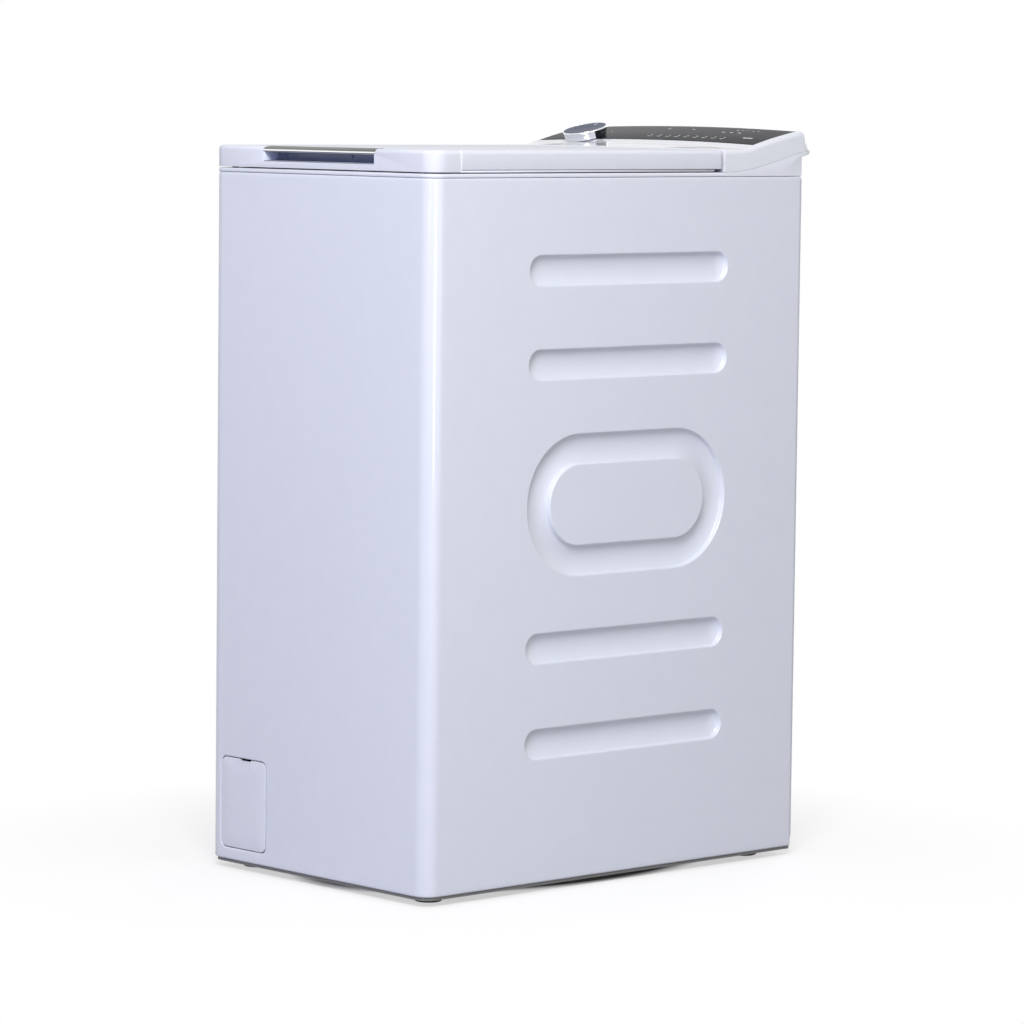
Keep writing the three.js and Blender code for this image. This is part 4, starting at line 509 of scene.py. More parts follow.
service = (-135.0, 75.0, 250.0, 560.0)
openings_at_rear = {"valve": (120.0, 775.0, 13.3), "gland": (-140.0, 790.0, 8.3),
                    "outlet": (130.0, 120.0, 13.3)}
bm = bmesh.new()
outline = ring_verts(bm, upright(rounded_rectangle(-half_width + 1, half_width - 1, 22, cabinet_top - 1, 4, 4),
                                 rear_face))
holes = []
for bead_z in (690, 200):
    rings = []
    for depth, grow in ((0, 2.5), (0, 0.4), (0.2, 0), (1.6, -1.8), (2.8, -3.6), (3.3, -5.5)):
        half = half_width - 70 + grow
        bead = rounded_rectangle(-half, half, bead_z - 8 - grow, bead_z + 8 + grow, 8 + grow - 0.01)
        rings.append(ring_verts(bm, upright(bead, rear_face - depth)))
    holes.append(pressed(bm, rings))
holes.append(ring_verts(bm, upright(rounded_rectangle(*service, 15, 6), rear_face)))
for x, z, radius in openings_at_rear.values():
    turns = [i * math.pi / 16 for i in range(32)]
    holes.append(ring_verts(bm, [(x + radius * math.cos(turn), rear_face, z + radius * math.sin(turn))
                                 for turn in turns]))
panel_with_holes(bm, outline, holes)
finished(sheet_piece(bm, "rear_sheet", 0.9), "cabinet", "white_paint", "rear_panel")

cover_rings = [upright(rounded_rectangle(*service, 15, grow=grow), rear_face + rise) for rise, grow in (
    (0.3, 12), (1.2, 11.8), (1.4, 11), (1.4, -3), (1.8, -6.5), (3.4, -10), (4.9, -14), (5.2, -18))]
service_lid = new_piece("service_lid", *skin(cover_rings, True, close_last=True), powder_paint, 50)
thicken(service_lid, 0.8, 50)
finished(service_lid, "cabinet", "white_paint", "service_cover")

zinc_plate = surface("zinc_plate", (146, 149, 150), (164, 167, 168), (0.34, 0.5), 14, 260, 0.08, 0.0001,
                     metallic=0.9)


def screw_heads(name, places, y, radius=3.6):
    """Pan heads, axis to the rear."""
    profile = [(0, y), (radius, y), (radius, y + 0.6), (radius * 0.8, y + 1.6), (radius * 0.4, y + 2.1), (0, y + 2.2)]
    return new_piece(name, *several(*[turned("y", profile, place, 20, False) for place in places]), zinc_plate)


x0, x1, z0, z1 = service
screws = [(x0 - 6, z0 - 6), (x1 + 6, z0 - 6), (x0 - 6, z1 + 6), (x1 + 6, z1 + 6)]
cover_screws = screw_heads("cover_screws", screws, rear_face + 1.3)
carve(cover_screws, cuts=[
    prism("y", [(x - a, z - b), (x + a, z - b), (x + a, z + b), (x - a, z + b)], rear_face + 2.3, rear_face + 5)
    for x, z in screws for a, b in ((0.45, 2), (2, 0.45))])
finished(cover_screws, "cabinet", "zinc")
panel_screws = [(x, z) for x in (-193, 193) for z in (60, 330, 600, 820)]
finished(screw_heads("panel_screws", panel_screws, rear_face - 0.1, 3.2), "cabinet", "zinc")

# ---------------------------------------------------------------- base pan and feet
# The machine stands in a moulded pan of filled plastic inside the sheet's lower edge. Four
# screw feet: a rubber-soled plastic pad on a threaded steel stud with a lock nut.
pan_plastic = surface("grey_pan_plastic", (112, 112, 113), (124, 123, 122), (0.5, 0.66), 9, 420, 0.25, 0.0002)


def dress(material, *nodes):
    """Gives frame parts that keep their shape a procedural finish."""
    for node in nodes:
        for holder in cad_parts[node].material_slots:
            holder.material = material


def soften(piece, width, segments=2, angle=50):
    """Rounds the hard edges of a moulded or cut piece."""
    bevel = piece.modifiers.new("soft_edges", "BEVEL")
    bevel.width = width / 1000
    bevel.segments = segments
    bevel.limit_method = "ANGLE"
    bevel.angle_limit = math.radians(angle)
    apply_modifiers(piece, 50)


dress(pan_plastic, "base_pan")

foot_plastic = surface("foot_plastic", (44, 45, 49), (54, 55, 58), (0.45, 0.6), 20, 500, 0.2, 0.0001)
foot_inset = 42.0
pad_profile = [(0, 0), (14.4, 0), (15.4, 0.3), (16.4, 1.2), (16.9, 2.4), (16.9, 4.6), (16.3, 5.6), (15.2, 6.2),
               (11, 6.8), (10.6, 7), (0, 7)]
thread_turns, thread_pitch = 20, 1.25
thread = [(0, 6.9)]
for k in range(thread_turns):
    thread += [(3.9, 7 + k * thread_pitch), (3.3, 7.6 + k * thread_pitch)]
thread += [(3.3, 32), (0, 32)]
for end, y in (("front", foot_inset), ("rear", rear_face - foot_inset)):
    for hand, x in (("left", -half_width + foot_inset), ("right", half_width - foot_inset)):
        node = "foot_" + end + "_" + hand
        foot = new_piece(node + "_pad", *turned("z", pad_profile, (x, y), 40, False), foot_plastic)
        soften(foot, 0.2, 1, 40)
        finished(foot, node, "dark_plastic", node)
        stem = new_piece(node + "_stud", *turned("z", thread, (x, y), 20, False), zinc_plate)
        finished(stem, node, "zinc")

# ---------------------------------------------------------------- top frame
# A white moulding on the cabinet's upper edge: a thin band all round, the deck with the
# loading mouth and its water lip, hinge lugs, and rising cheeks that carry the console.
white_moulding = surface("white_moulding", (213, 215, 225), (216, 218, 228), (0.46, 0.52), 44,
                         900, 0.04, 0.00004, specular=0.25)
frame_bottom, frame_top = 848.3, 853.0
deck_rear = 610.4
mouth = (-142.0, 142.0, 113.0, 437.0)
mouth_corner = 26.0
lid_rear = 472.0
hinge_x, hinge_y, hinge_z = 152, 464.5, 872.5
lug_half, lug_radius = 4, 4.1
hinge_axis = (hinge_y, hinge_z)
console_front = 476.0
rear_lip = 871.5


def cabinet_outline(inset, rear, steps=14):
    front = max(corner_radius - inset, 1)
    return rounded_rectangle(-half_width + inset, half_width - inset, inset, rear, [front, front, 1.0, 1.0], steps)


def flat_ring(outline, z):
    return [(x, y, z) for x, y in outline]


def curve_between(knots, steps):
    """A smooth line through (y, z) knots."""
    line = []
    for k in range(len(knots) - 1):
        p0 = knots[max(k - 1, 0)]
        p1, p2 = knots[k], knots[k + 1]
        p3 = knots[min(k + 2, len(knots) - 1)]
        for i in range(steps):
            t = i / steps
            line.append(tuple(0.5 * (2 * b + (c - a) * t + (2 * a - 5 * b + 4 * c - d) * t * t
                                     + (3 * b - a - 3 * c + d) * t ** 3) for a, b, c, d in zip(p0, p1, p2, p3)))
    line.append(tuple(knots[-1]))
    return line


def height_on(line, y):
    """Height of a line of (y, z) points at y."""
    for (ya, za), (yb, zb) in zip(line, line[1:]):
        if ya <= y <= yb:
            return za + (zb - za) * (y - ya) / max(yb - ya, 1e-6)
    return line[0][1] if y < line[0][0] else line[-1][1]


def mouth_grown(grow):
    return rounded_rectangle(*mouth, mouth_corner + grow, 12, grow)


cheek_line = curve_between([(476.5, 853), (502, 854.2), (528, 858), (568, 866.8), (592, 873), (610, 877),
                            (624, 879.4)], 8)
band_rows = ((1.0, frame_bottom), (0.3, frame_bottom + 0.15), (0.05, frame_bottom + 0.6), (0.05, frame_top - 1.5),
             (0.35, frame_top - 0.6), (1.1, frame_top - 0.1), (1.8, frame_top))
band = new_piece("top_frame_moulding", *skin([flat_ring(cabinet_outline(inset, deck_rear), z)
                                              for inset, z in band_rows], True, True), white_moulding)
cheek_outline = [(476.5, frame_bottom + 0.1), (deck_rear, frame_bottom + 0.1), (deck_rear, rear_lip),
                 (623.6, rear_lip + 4)] + cheek_line[::-1]
lug_turns = [math.pi * i / 16 for i in range(17)]
lug_outline = [(hinge_y + lug_radius, frame_top - 1)]
lug_outline += [(hinge_y + lug_radius * math.cos(turn), hinge_z + lug_radius * math.sin(turn))
                for turn in lug_turns]
lug_outline += [(hinge_y - 7.1, frame_top - 1)]
hinges = [side * hinge_x for side in (-1, 1)]
carve(band, adds=[
    prism("z", cabinet_outline(17.6, deck_rear - 16.6, 8), 832, frame_bottom + 1),
    prism("x", cheek_outline, -half_width + 0.05, half_width - 0.05),
    prism("z", mouth_grown(7.3), frame_top - 11, frame_top + 2.5),
] + [prism("x", lug_outline, x - lug_half, x + lug_half) for x in hinges], cuts=[
    prism("z", cabinet_outline(20.6, deck_rear - 19.6, 8), 831, frame_top - 3),
    prism("z", mouth_grown(4.3), frame_top - 12, frame_top - 3),
    prism("z", mouth_grown(0), 820, frame_top + 5),
    prism("x", [(475, frame_top), (deck_rear - 3, frame_top), (deck_rear - 3, rear_lip + 3), (640, rear_lip + 3),
                (640, 900), (475, 900)], -half_width + 3, half_width - 3),
] + [turned("x", [(0, x - 9), (2.3, x - 9), (2.3, x + 9), (0, x + 9)], hinge_axis, 24, False) for x in hinges])
soften(band, 0.5)
finished(band, "cabinet", "white_plastic", "top_frame")

black_rubber = surface("black_rubber", (26, 26, 28), (36, 36, 38), (0.6, 0.8), 30, 700, 0.2, 0.0001)
buffer_profile = [(0, frame_top + 0.1), (3.6, frame_top + 0.1), (3.8, frame_top + 0.3), (3.8, 854.35),
                  (3.6, 854.45), (0, 854.45)]
for node, x, y in (("buffer_left", -162, 4.9), ("buffer_right", 176, 5.2)):
    pad = new_piece(node + "_pad", *turned("z", buffer_profile, (x, y), 24, False), black_rubber)
    finished(pad, "cabinet", "rubber", node)

# ---------------------------------------------------------------- lid shell
# A thin white moulding with rounded edges. Its front moulding draws in a little before the
# side panels, which hang shorter; the middle of the front edge is cut out for the handle.
lid_top = 880.5
lid_front_bottom, lid_side_bottom, lid_step = 854.5, 857.5, 45.0
lid_middle_y = 236
lid_edge = 5.0
side_proud = 0.8
handle_left, handle_right = -105.0, 99.0
handle_bottom, handle_top = 862.0, 875.0
handle_depth = 24.0
notch_half = 4.4


def lid_ring(inset, z):
    """The lid's outline with the front moulding's inward draw and the proud side panels."""
    steps = 12
    r = corner_radius - inset
    half = half_width - inset
    turns = [math.pi / 2 * i / steps for i in range(steps + 1)]
    side = [(half - r + r * math.sin(turn), inset + r - r * math.cos(turn)) for turn in turns]
    side += [(half - side_proud * ((y - 20) / 25) ** 1.5, y) for y in (24, 28, 32, 36, 40, 43, lid_step - 0.35)]
    side += [(half - side_proud + 0.25, lid_step - 0.2), (half - 0.3, lid_step), (half - 0.08, lid_step + 0.2),
             (half, lid_step + 0.6), (half, lid_step + 5)]
    side += [(half, lid_rear - 5), (half, lid_rear - 2.6 - inset * 0.5), (half - 0.8, lid_rear - 0.8 - inset),
             (half - 2.6, lid_rear - inset)]
    return flat_ring(side + [(-x, y) for x, y in side[::-1]], z)


lid_rows = [lid_ring(0.5, lid_front_bottom), lid_ring(0.12, lid_front_bottom + 0.2),
            lid_ring(0, lid_front_bottom + 0.7), lid_ring(0, lid_top - lid_edge - 1)]
for i in range(9):
    angle = math.pi / 2 * i / 8
    edge_z = lid_top - lid_edge + lid_edge * math.sin(angle) - 0.35
    lid_rows.append(lid_ring(lid_edge * (1 - math.cos(angle)), edge_z))
for share, z in ((0.9, lid_top - 0.1), (0.5, lid_top)):
    lid_rows.append([(x * share, lid_middle_y + (y - lid_middle_y) * share, z)
                     for x, y, _ in lid_ring(lid_edge, z)])
lid_inner = [lid_ring(2.8, lid_front_bottom - 1), lid_ring(2.8, lid_top - 5), lid_ring(3.6, lid_top - 3.4),
             lid_ring(5, lid_top - 2.9)]
lid = new_piece("lid_moulding", *skin(lid_rows, True, True), white_moulding)
side_lift = block(-half_width - 2, half_width + 2, lid_step, lid_rear + 2, lid_front_bottom - 2, lid_side_bottom)
hinge_notches = [block(x - notch_half, x + notch_half, lid_rear - 5.4, lid_rear + 2,
                       lid_front_bottom - 1, lid_top - 2) for x in hinges]
front_cut = block(handle_left, handle_right, -2, 4.8, handle_bottom, lid_top + 2)
trim_seat = block(handle_left - 0.3, handle_right + 0.3, -2, 15.3, handle_top - 1, lid_top + 2)
hinge_cheeks = [
    prism("x", [(450.5, lid_top - 1.2), (450.5, lid_top - 5), (459.5, 867.5), (469.5, 867.5), (469.5, lid_top - 1.2)],
          x + face * notch_half, x + face * notch_half + face * 3) for x in hinges for face in (-1, 1)]
carve(lid, cuts=[skin(lid_inner, True, True)])
carve(lid, adds=hinge_cheeks, cuts=[side_lift, front_cut, trim_seat] + hinge_notches)
soften(lid, 0.35, angle=45)
finished(lid, "lid", "white_plastic", "lid_shell")


def rod(radius, start, end, centre):
    """A rod along x with chamfered ends."""
    chamfer = 0.4
    return turned("x", [(0, start), (radius - chamfer, start), (radius, start + chamfer), (radius, end - chamfer),
                        (radius - chamfer, end), (0, end)], centre, 24, False)


for node, x in zip(("hinge_pin_left", "hinge_pin_right"), hinges):
    finished(new_piece(node + "_rod", *rod(2, x - 8, x + 8, hinge_axis), zinc_plate), "cabinet", "zinc", node)

# ---------------------------------------------------------------- handle
# A dark moulded channel let into the lid's front edge between two white end walls, with ribs
# in it, under a sloping strip of aluminium, brushed along its length, with a bright-cut edge.
slate_moulding = surface("slate_moulding", (132, 138, 156), (140, 146, 164), (0.3, 0.42), 40, 500, 0.12, 0.0001)
end_wall = 2.0


def channel_profile(above_bottom, below_top):
    return [(y, handle_bottom + z) for y, z in above_bottom] + [(y, handle_top - z) for y, z in below_top]


channel_outer = channel_profile([(0.7, 0.3), (17, 0.3), (21, 1.2), (23, 3.4), (24, 6)],
                                [(24, 2.2), (23.4, 1.2), (0.7, 1)])
channel_inner = channel_profile([(-1, 1.2), (16, 1.2), (19.4, 2.2), (21.2, 4.2), (22.4, 6.4)],
                                [(22.4, 2.4), (22, 1.9), (-1, 1.9)])
rib_profile = channel_profile([(19, 2), (22.6, 2)], [(22.6, 2.4), (21, 2.4)])
channel_left, channel_right = handle_left + 0.3 + end_wall, handle_right - 0.3 - end_wall
cup = new_piece("handle_channel", *prism("x", channel_outer, channel_left, channel_right), slate_moulding, 50)
carve(cup, cuts=[prism("x", channel_inner, channel_left - 1, channel_right + 1)])
soften(cup, 0.3)
finished(cup, "lid", "dark_plastic", "handle_cup")
# The end walls get a lighter, bluer tone than the white moulding: painted light, standing for the lit left end wall
# inside the handle recess.
end_wall_painted_light = surface("end_wall_painted_light", (224, 231, 247), (228, 235, 251), (0.4, 0.46), 44, 900, 0.04, 0.00004)
handle_ends = new_piece("handle_end_walls", *several(
    prism("x", channel_outer, handle_left + 0.3, channel_left - 0.02),
    prism("x", channel_outer, channel_right + 0.02, handle_right - 0.3)), end_wall_painted_light, 50)
soften(handle_ends, 0.3)
finished(handle_ends, "lid", "white_plastic")
recess_ribs = new_piece("handle_recess_ribs", *several(*[prism("x", rib_profile, x, x + 1.4) for x in (-88, 33)]),
                        slate_moulding)
soften(recess_ribs, 0.2)
finished(recess_ribs, "lid", "dark_plastic")

brushed_metal, tree, shader, along = toned("brushed_aluminium", (98, 100, 96), (126, 128, 123), (0.24, 0.42),
                                           (30, 4, 0.6, (1, 60, 60)), {"Metallic": 0.85, "Anisotropic": 0.5})
grain(tree, shader, along, 0.15, 0.00005)

strip_base = handle_top - 0.4
strip_outer = [(0.5, 1.3), (0.9, 2.0), (2.4, 3.1), (4.4, 4.2), (6.6, 5.1), (8.8, 5.65), (11, 5.85), (15, 5.9)]
strip_inner = [(15, 4.5), (10, 4.4), (5.2, 3.2), (3.0, 2.0), (2.2, 1.2), (2.2, 0.1), (0.5, 0.1)]
cut_edge = [(0.5, 0), (0.1, 0.1), (0, 0.35), (0, 1.0), (0.12, 1.35), (0.45, 1.5), (0.85, 1.9), (2.1, 1.4), (2.1, 0)]


def strip_form(profile):
    """A length of strip whose ends draw in a little towards the rear."""
    return skin([[(end - math.copysign(0.1 + y / 8, end), y, strip_base + z) for y, z in profile]
                 for end in (handle_left, handle_right)], True, True)


handle_strip = new_piece("handle_strip", *strip_form(strip_outer + strip_inner), brushed_metal, 40)
soften(handle_strip, 0.15)
finished(handle_strip, "lid", "brushed_metal", "handle_trim")
cut_metal = surface("bright_cut_aluminium", (232, 233, 232), (244, 244, 243), (0.12, 0.2), 30, 300, 0.05, 0.00003,
                    metallic=0.9)
finished(new_piece("handle_strip_edge", *strip_form(cut_edge), cut_metal, 40), "lid", "brushed_metal")

# ---------------------------------------------------------------- lid liner and dispenser
# The liner closes the lid's underside: a flat rim, a raised middle, side rims under the
# lid's edges and the striker of the lock. The dispenser's three cells hang from it.
liner_z = lid_side_bottom + 2.5
liner_outline = rounded_rectangle(-half_width + 3.1, half_width - 3.1, handle_depth + 8, hinge_y - 18, 14, 10)


def drawn_in(outline, inset):
    """A rounded outline moved inwards by the same amount all round."""
    xs = [p[0] for p in outline]
    ys = [p[1] for p in outline]
    cx, cy = (min(xs) + max(xs)) / 2, (min(ys) + max(ys)) / 2
    fx = 1 - inset / ((max(xs) - min(xs)) / 2)
    fy = 1 - inset / ((max(ys) - min(ys)) / 2)
    return [(cx + (x - cx) * fx, cy + (y - cy) * fy) for x, y in outline]


liner_rows = [flat_ring(drawn_in(liner_outline, inset), liner_z + rise) for inset, rise in (
    (0.4, 2.5), (0, 2), (0, 0.5), (0.5, 0), (14, 0), (17, 0.6), (19, 2.2), (20.5, 4), (24, 5), (60, 5.4))]
liner = new_piece("lid_liner_moulding", *skin(liner_rows, True, close_last=True), white_moulding, 50)
thicken(liner, 1.6, 50)
rim_front = lid_step + 0.3
rims = []
for side in (-1, 1):
    inner = side * (half_width - 5.5)
    rims.append(prism("x", [(rim_front, lid_front_bottom - 0.2), (hinge_y - 8, lid_front_bottom - 0.2),
                            (hinge_y - 6, lid_front_bottom + 0.6), (hinge_y - 6, lid_side_bottom - 0.9),
                            (rim_front, lid_side_bottom - 0.9)], inner, side * (half_width - 0.4)))
    rims.append(block(inner, side * (half_width - 3.1), rim_front, hinge_y - 20,
                      lid_front_bottom + 1, liner_z + 1))
rims.append(prism("x", [(75, liner_z + 1), (75, frame_top - 9), (76, frame_top - 9.6), (79, frame_top - 9.6),
                        (80, frame_top - 9), (80, liner_z + 1)], -5, 5))
carve(liner, adds=rims)
soften(liner, 0.25)
finished(liner, "lid", "white_plastic", "lid_liner")

light_grey_moulding = surface("light_grey_moulding", (186, 189, 193), (194, 197, 200), (0.4, 0.52), 10,
                              500, 0.15, 0.0001)
dispenser_top = liner_z - 0.3
dispenser_box = rounded_rectangle(-118, 118, 150, 400, 12)
tray = new_piece("dispenser_tray", *skin([
    flat_ring(drawn_in(dispenser_box, inset), dispenser_top - drop) for inset, drop in
    ((0.6, 0), (0, 0.6), (0.4, 12), (2, 38), (3, 41), (5, 43), (7.5, 44))], True, True), light_grey_moulding, 40)
carve(tray, cuts=[skin([
    flat_ring(rounded_rectangle(left, right, 160, 370, 8, 6, -inset), dispenser_top - drop) for inset, drop in
    ((-0.6, 45), (0, 43.4), (0, 6), (1, 3.6), (3, 2.5))], True, True)
    for left, right in ((-108, -42), (-37, 37), (42, 108))])
soften(tray, 0.5, angle=45)
finished(tray, "lid", "tub_plastic", "dispenser")

# ---------------------------------------------------------------- console
# The white console rises to the rear in one sweep, crowned across its width, with rounded
# shoulders, and folds down in a chamfer at the back. A shallow bed takes the dark glass.
console_back, console_rear = 614.0, 624.6
console_line = curve_between([(476, 880.4), (500, 880.6), (517, 882), (532, 886), (548, 890.2), (563, 893.8),
                              (590, 899.5), (606, 902.5), (614, 902.6)], 6)
console_crown = 4.2
shoulder = 6.0
glass_front, glass_rear, glass_half = 532.0, 607.0, 192.0
glass_thickness = 2.4
bed_margins = (0.3, 0.45, 0.9)


def console_top(x, y):
    """Height of the console's outer surface between its shoulders."""
    crown = console_crown * (1 - (x / half_width) ** 2) * min(1.0, max(0.0, (y - console_front) / 40 + 0.3))
    return height_on(console_line, y) + crown


def console_height(x, y):
    """Outer height with the rounded shoulders and the rear chamfer."""
    edge = half_width - shoulder
    z = console_top(max(-edge, min(edge, x)), min(y, console_back))
    over = abs(x) - edge
    if over > 0:
        z -= shoulder - math.sqrt(max(shoulder ** 2 - over ** 2, 0))
    return z


xs = [-half_width + shoulder * (1 - math.cos(math.radians(a))) for a in (0, 8, 20, 34, 48, 62, 76, 90)]
xs += [-glass_half - margin for margin in bed_margins]
xs = sorted(set(xs + [-glass_half + 12 * k for k in range(1, 16)] + [-glass_half + 0.4]))
xs = xs + [0.0] + [-x for x in xs[::-1]]
ys = [console_front + d for d in (0, 0.3, 0.9, 1.8, 4)]
ys += [y for y, _ in console_line if console_front + 5 < y < glass_front - 2]
ys += [glass_front - margin for margin in bed_margins[::-1]]
ys += [y for y, _ in console_line if glass_front + 1 < y < glass_rear - 1]
ys += [glass_rear + margin for margin in bed_margins]
ys += [y for y, _ in console_line if y > glass_rear + 1.5]
front_round = {console_front: 1.6, console_front + 0.3: 0.8, console_front + 0.9: 0.25}


def console_surface(x, y):
    sunk = abs(x) <= glass_half + 0.31 and glass_front - 0.31 <= y <= glass_rear + 0.31
    return console_height(x, y) - front_round.get(y, 0) - (glass_thickness + 0.2 if sunk else 0)


rows = []
for y in ys:
    side_low = height_on(cheek_line, y) + 0.3
    row = [(x, y, max(console_surface(x, y), side_low + 0.5)) for x in xs]
    rows.append([(-half_width, y, side_low)] + row + [(half_width, y, side_low)])
last_row = rows[-1]
for y, z, draw in ((616, 900.4, 1), (618, 896.2, 1.8), (621.5, 889.6, 3.4), (console_rear - 0.3, 884.2, 4.6),
                   (console_rear, 883, 5), (console_rear, 880.3, 5)):
    drop = last_row[len(last_row) // 2][2] - z
    side_low = height_on(cheek_line, min(y, 624)) + 0.3
    row = [(x * (1 - draw * 0.0006), y, max(top - drop, side_low + 0.2)) for x, _, top in last_row]
    rows.append([(*row[0][:2], side_low)] + row[1:-1] + [(*row[-1][:2], side_low)])
points, faces = skin(rows)
front_low = len(points)
points += [(x, console_front, max(853.4, height_on(cheek_line, console_front) + 0.3)) for x, _, _ in rows[0]]
faces += [(i, i + 1, front_low + i + 1, front_low + i) for i in range(len(rows[0]) - 1)]
console_moulding = surface("console_moulding", (212, 214, 223), (215, 217, 226), (0.46, 0.52), 44,
                           900, 0.04, 0.00004, coat=1.0, specular=0.25)
console = new_piece("console_moulding", points, faces, console_moulding, 40)
thicken(console, 2.6, 40)
finished(console, "cabinet", "white_plastic", "console_shell")

# ---------------------------------------------------------------- control glass
# A dark tinted touch panel with ground edges, printed from below with plain white marks:
# a row of option dashes, small squares over the keys and a bar for the remaining time.
control_tint, *_ = toned("smoked_glass", (26, 27, 33), (34, 35, 41), (0.16, 0.24), (5, 2),
                         {"Specular IOR Level": 0.03, "IOR": 1.3})
knob_x, knob_y = -110.0, 538.0


def panel_slab(x0, x1, y0, y1, low, high, across=40, deep=24, ground=0.35):
    """A slab that follows the console's surface, with ground edges."""
    def line(a, b, n):
        return [a, a + ground] + [a + (b - a) * i / n for i in range(1, n)] + [b - ground, b]

    px, py = line(x0, x1, across), line(y0, y1, deep)
    n, m = len(px), len(py)

    def layer(lift):
        return skin([[(x, y, console_top(x, y) + lift(i, j)) for i, x in enumerate(px)]
                     for j, y in enumerate(py)])

    points, faces = several(layer(lambda i, j: high - (ground if i in (0, n - 1) or j in (0, m - 1) else 0)),
                            layer(lambda i, j: low))
    border = list(range(n)) + [j * n + n - 1 for j in range(1, m)]
    border += [(m - 1) * n + i for i in range(n - 2, -1, -1)] + [j * n for j in range(m - 2, 0, -1)]
    start = n * m
    faces += [(a, b, start + b, start + a) for a, b in zip(border, border[1:] + border[:1])]
    return points, faces


glass = panel_slab(-glass_half, glass_half, glass_front, glass_rear, -glass_thickness, 0.0)
finished(new_piece("control_panel_glass", *glass, control_tint, 40), "cabinet", "dark_glass", "control_glass")


def mark(x0, x1, y0, y1, across=1):
    return panel_slab(x0, x1, y0, y1, 0.02, 0.06, across, 1, 0.01)


panel_print = surface("panel_print", (214, 216, 218), (228, 229, 230), (0.4, 0.5), 40)
marks = []
for first, pitch, count, width, y0, y1, across in (
        (-10, 16, 9, 7, 548, 549.2, 2), (-8, 16, 9, 2.5, 553, 555.2, 1), (92, 14, 3, 4.5, 578, 580.6, 1),
        (104, 9, 5, 5, 592, 593, 1), (-14, 0, 1, 6, 588, 590.4, 1), (30, 0, 1, 4, 588, 590.4, 1),
        (150, 0, 1, 16, 556, 559, 2)):
    for k in range(count):
        x = first + k * pitch
        marks.append(mark(x, x + width, y0, y1, across))
dot_circle, dot_half = 35, 0.7
for k in range(1, 16):
    angle = 2 * math.pi * k / 16
    cx, cy = knob_x + dot_circle * math.cos(angle), knob_y + dot_circle * math.sin(angle)
    if cy > glass_front + 4:
        marks.append(mark(cx - dot_half, cx + dot_half, cy - dot_half, cy + dot_half))
finished(new_piece("panel_marks", *several(*marks), panel_print), "cabinet", "white_plastic")

# ---------------------------------------------------------------- programme dial
# A bright plated ring round a cap, a little dished, with a pointer mark, on a spindle that leans
# with the console's slope. The cap's dark slate-blue colour is a painted reflection of a dark surround on the dial's
# plated top.
mirror_plate, *_ = toned("mirror_plate", (226, 228, 232), (236, 237, 240), (0.06, 0.14), (60, 3),
                         {"Metallic": 1.0})
# Dark slate-blue in place of plating: a painted reflection of a dark surround on the dial's top.
cap_painted_reflection = surface("cap_painted_reflection", (52, 61, 84), (66, 76, 100), (0.3, 0.4), 40, specular=0.1)

knob_slope = math.atan2(height_on(console_line, knob_y + 8) - height_on(console_line, knob_y - 8), 16)
knob_seat = Vector((knob_x, knob_y, console_top(knob_x, knob_y)))


def about_knob(form):
    points, faces = form
    turn = Matrix.Rotation(knob_slope, 3, "X")
    return [tuple(turn @ Vector(p) + knob_seat) for p in points], faces


rim_profile = [(0, 1.2), (25, 1.2), (26, 1.5), (26.5, 2.2), (26.8, 4), (27.3, 6), (27.8, 8), (28.2, 9.6),
               (28.5, 10.8), (28.5, 11.7), (28.2, 12.5), (27.7, 12.9), (27.2, 12.8), (27, 11.2), (0, 11.2)]
cap_profile = [(0, 11.4), (26.9, 11.4), (26.9, 12.2), (26.5, 12.6), (24, 12.7), (16, 12.2), (8, 11.85), (0, 11.75)]
spindle_profile = [(0, -14), (3, -14), (3, 1.3), (0, 1.3)]
ring = several(turned("z", rim_profile, (0, 0), 96, False), turned("z", spindle_profile, (0, 0), 24, False))
finished(new_piece("dial_ring", *about_knob(ring), mirror_plate, 40), "dial", "chrome", "programme_dial")
cap = turned("z", cap_profile, (0, 0), 96, False)
finished(new_piece("dial_cap", *about_knob(cap), cap_painted_reflection, 40), "dial", "chrome")
line = prism("z", rounded_rectangle(-0.8, 0.8, 17, 24, 0.7, 4), 12, 12.85)
finished(new_piece("dial_pointer", *about_knob(line), panel_print), "dial", "chrome")

# ---------------------------------------------------------------- filter flap and filter cap
# A small white door let into the front sheet over the drain filter, with a coin slot in its
# upper edge and a pin at each side. Behind it, the filter's screw cap with its grip bar.
flap_pivot = (3.4, flap_bottom + flap_corner)
flap_outline = rounded_rectangle(flap_left, flap_right, flap_bottom, flap_top, flap_corner, 10)
flap_rows = [upright(drawn_in(flap_outline, inset), y) for inset, y in (
    (0, 2.4), (0, 0.9), (0.12, 0.45), (0.4, 0.14), (0.9, 0.0), (20, 0.0))]
flap = new_piece("filter_flap_door", *skin(flap_rows, True, True), powder_paint, 50)
flap_pin = rod(2.2, flap_left + 14, flap_right - 14, flap_pivot)
catch = prism("x", [(2.2, flap_top - 14), (6.4, flap_top - 14), (7, flap_top - 13.4), (7, flap_top - 11.6),
                    (6.4, flap_top - 11), (2.2, flap_top - 11)], -145, -123)
coin_slot = prism("z", [(-140, -1), (-120, -1), (-120, 3), (-140, 3)], flap_top - 1.7, flap_top + 2)
carve(flap, adds=[flap_pin, catch], cuts=[coin_slot])
finished(flap, "filter_flap", "white_plastic", "filter_flap")

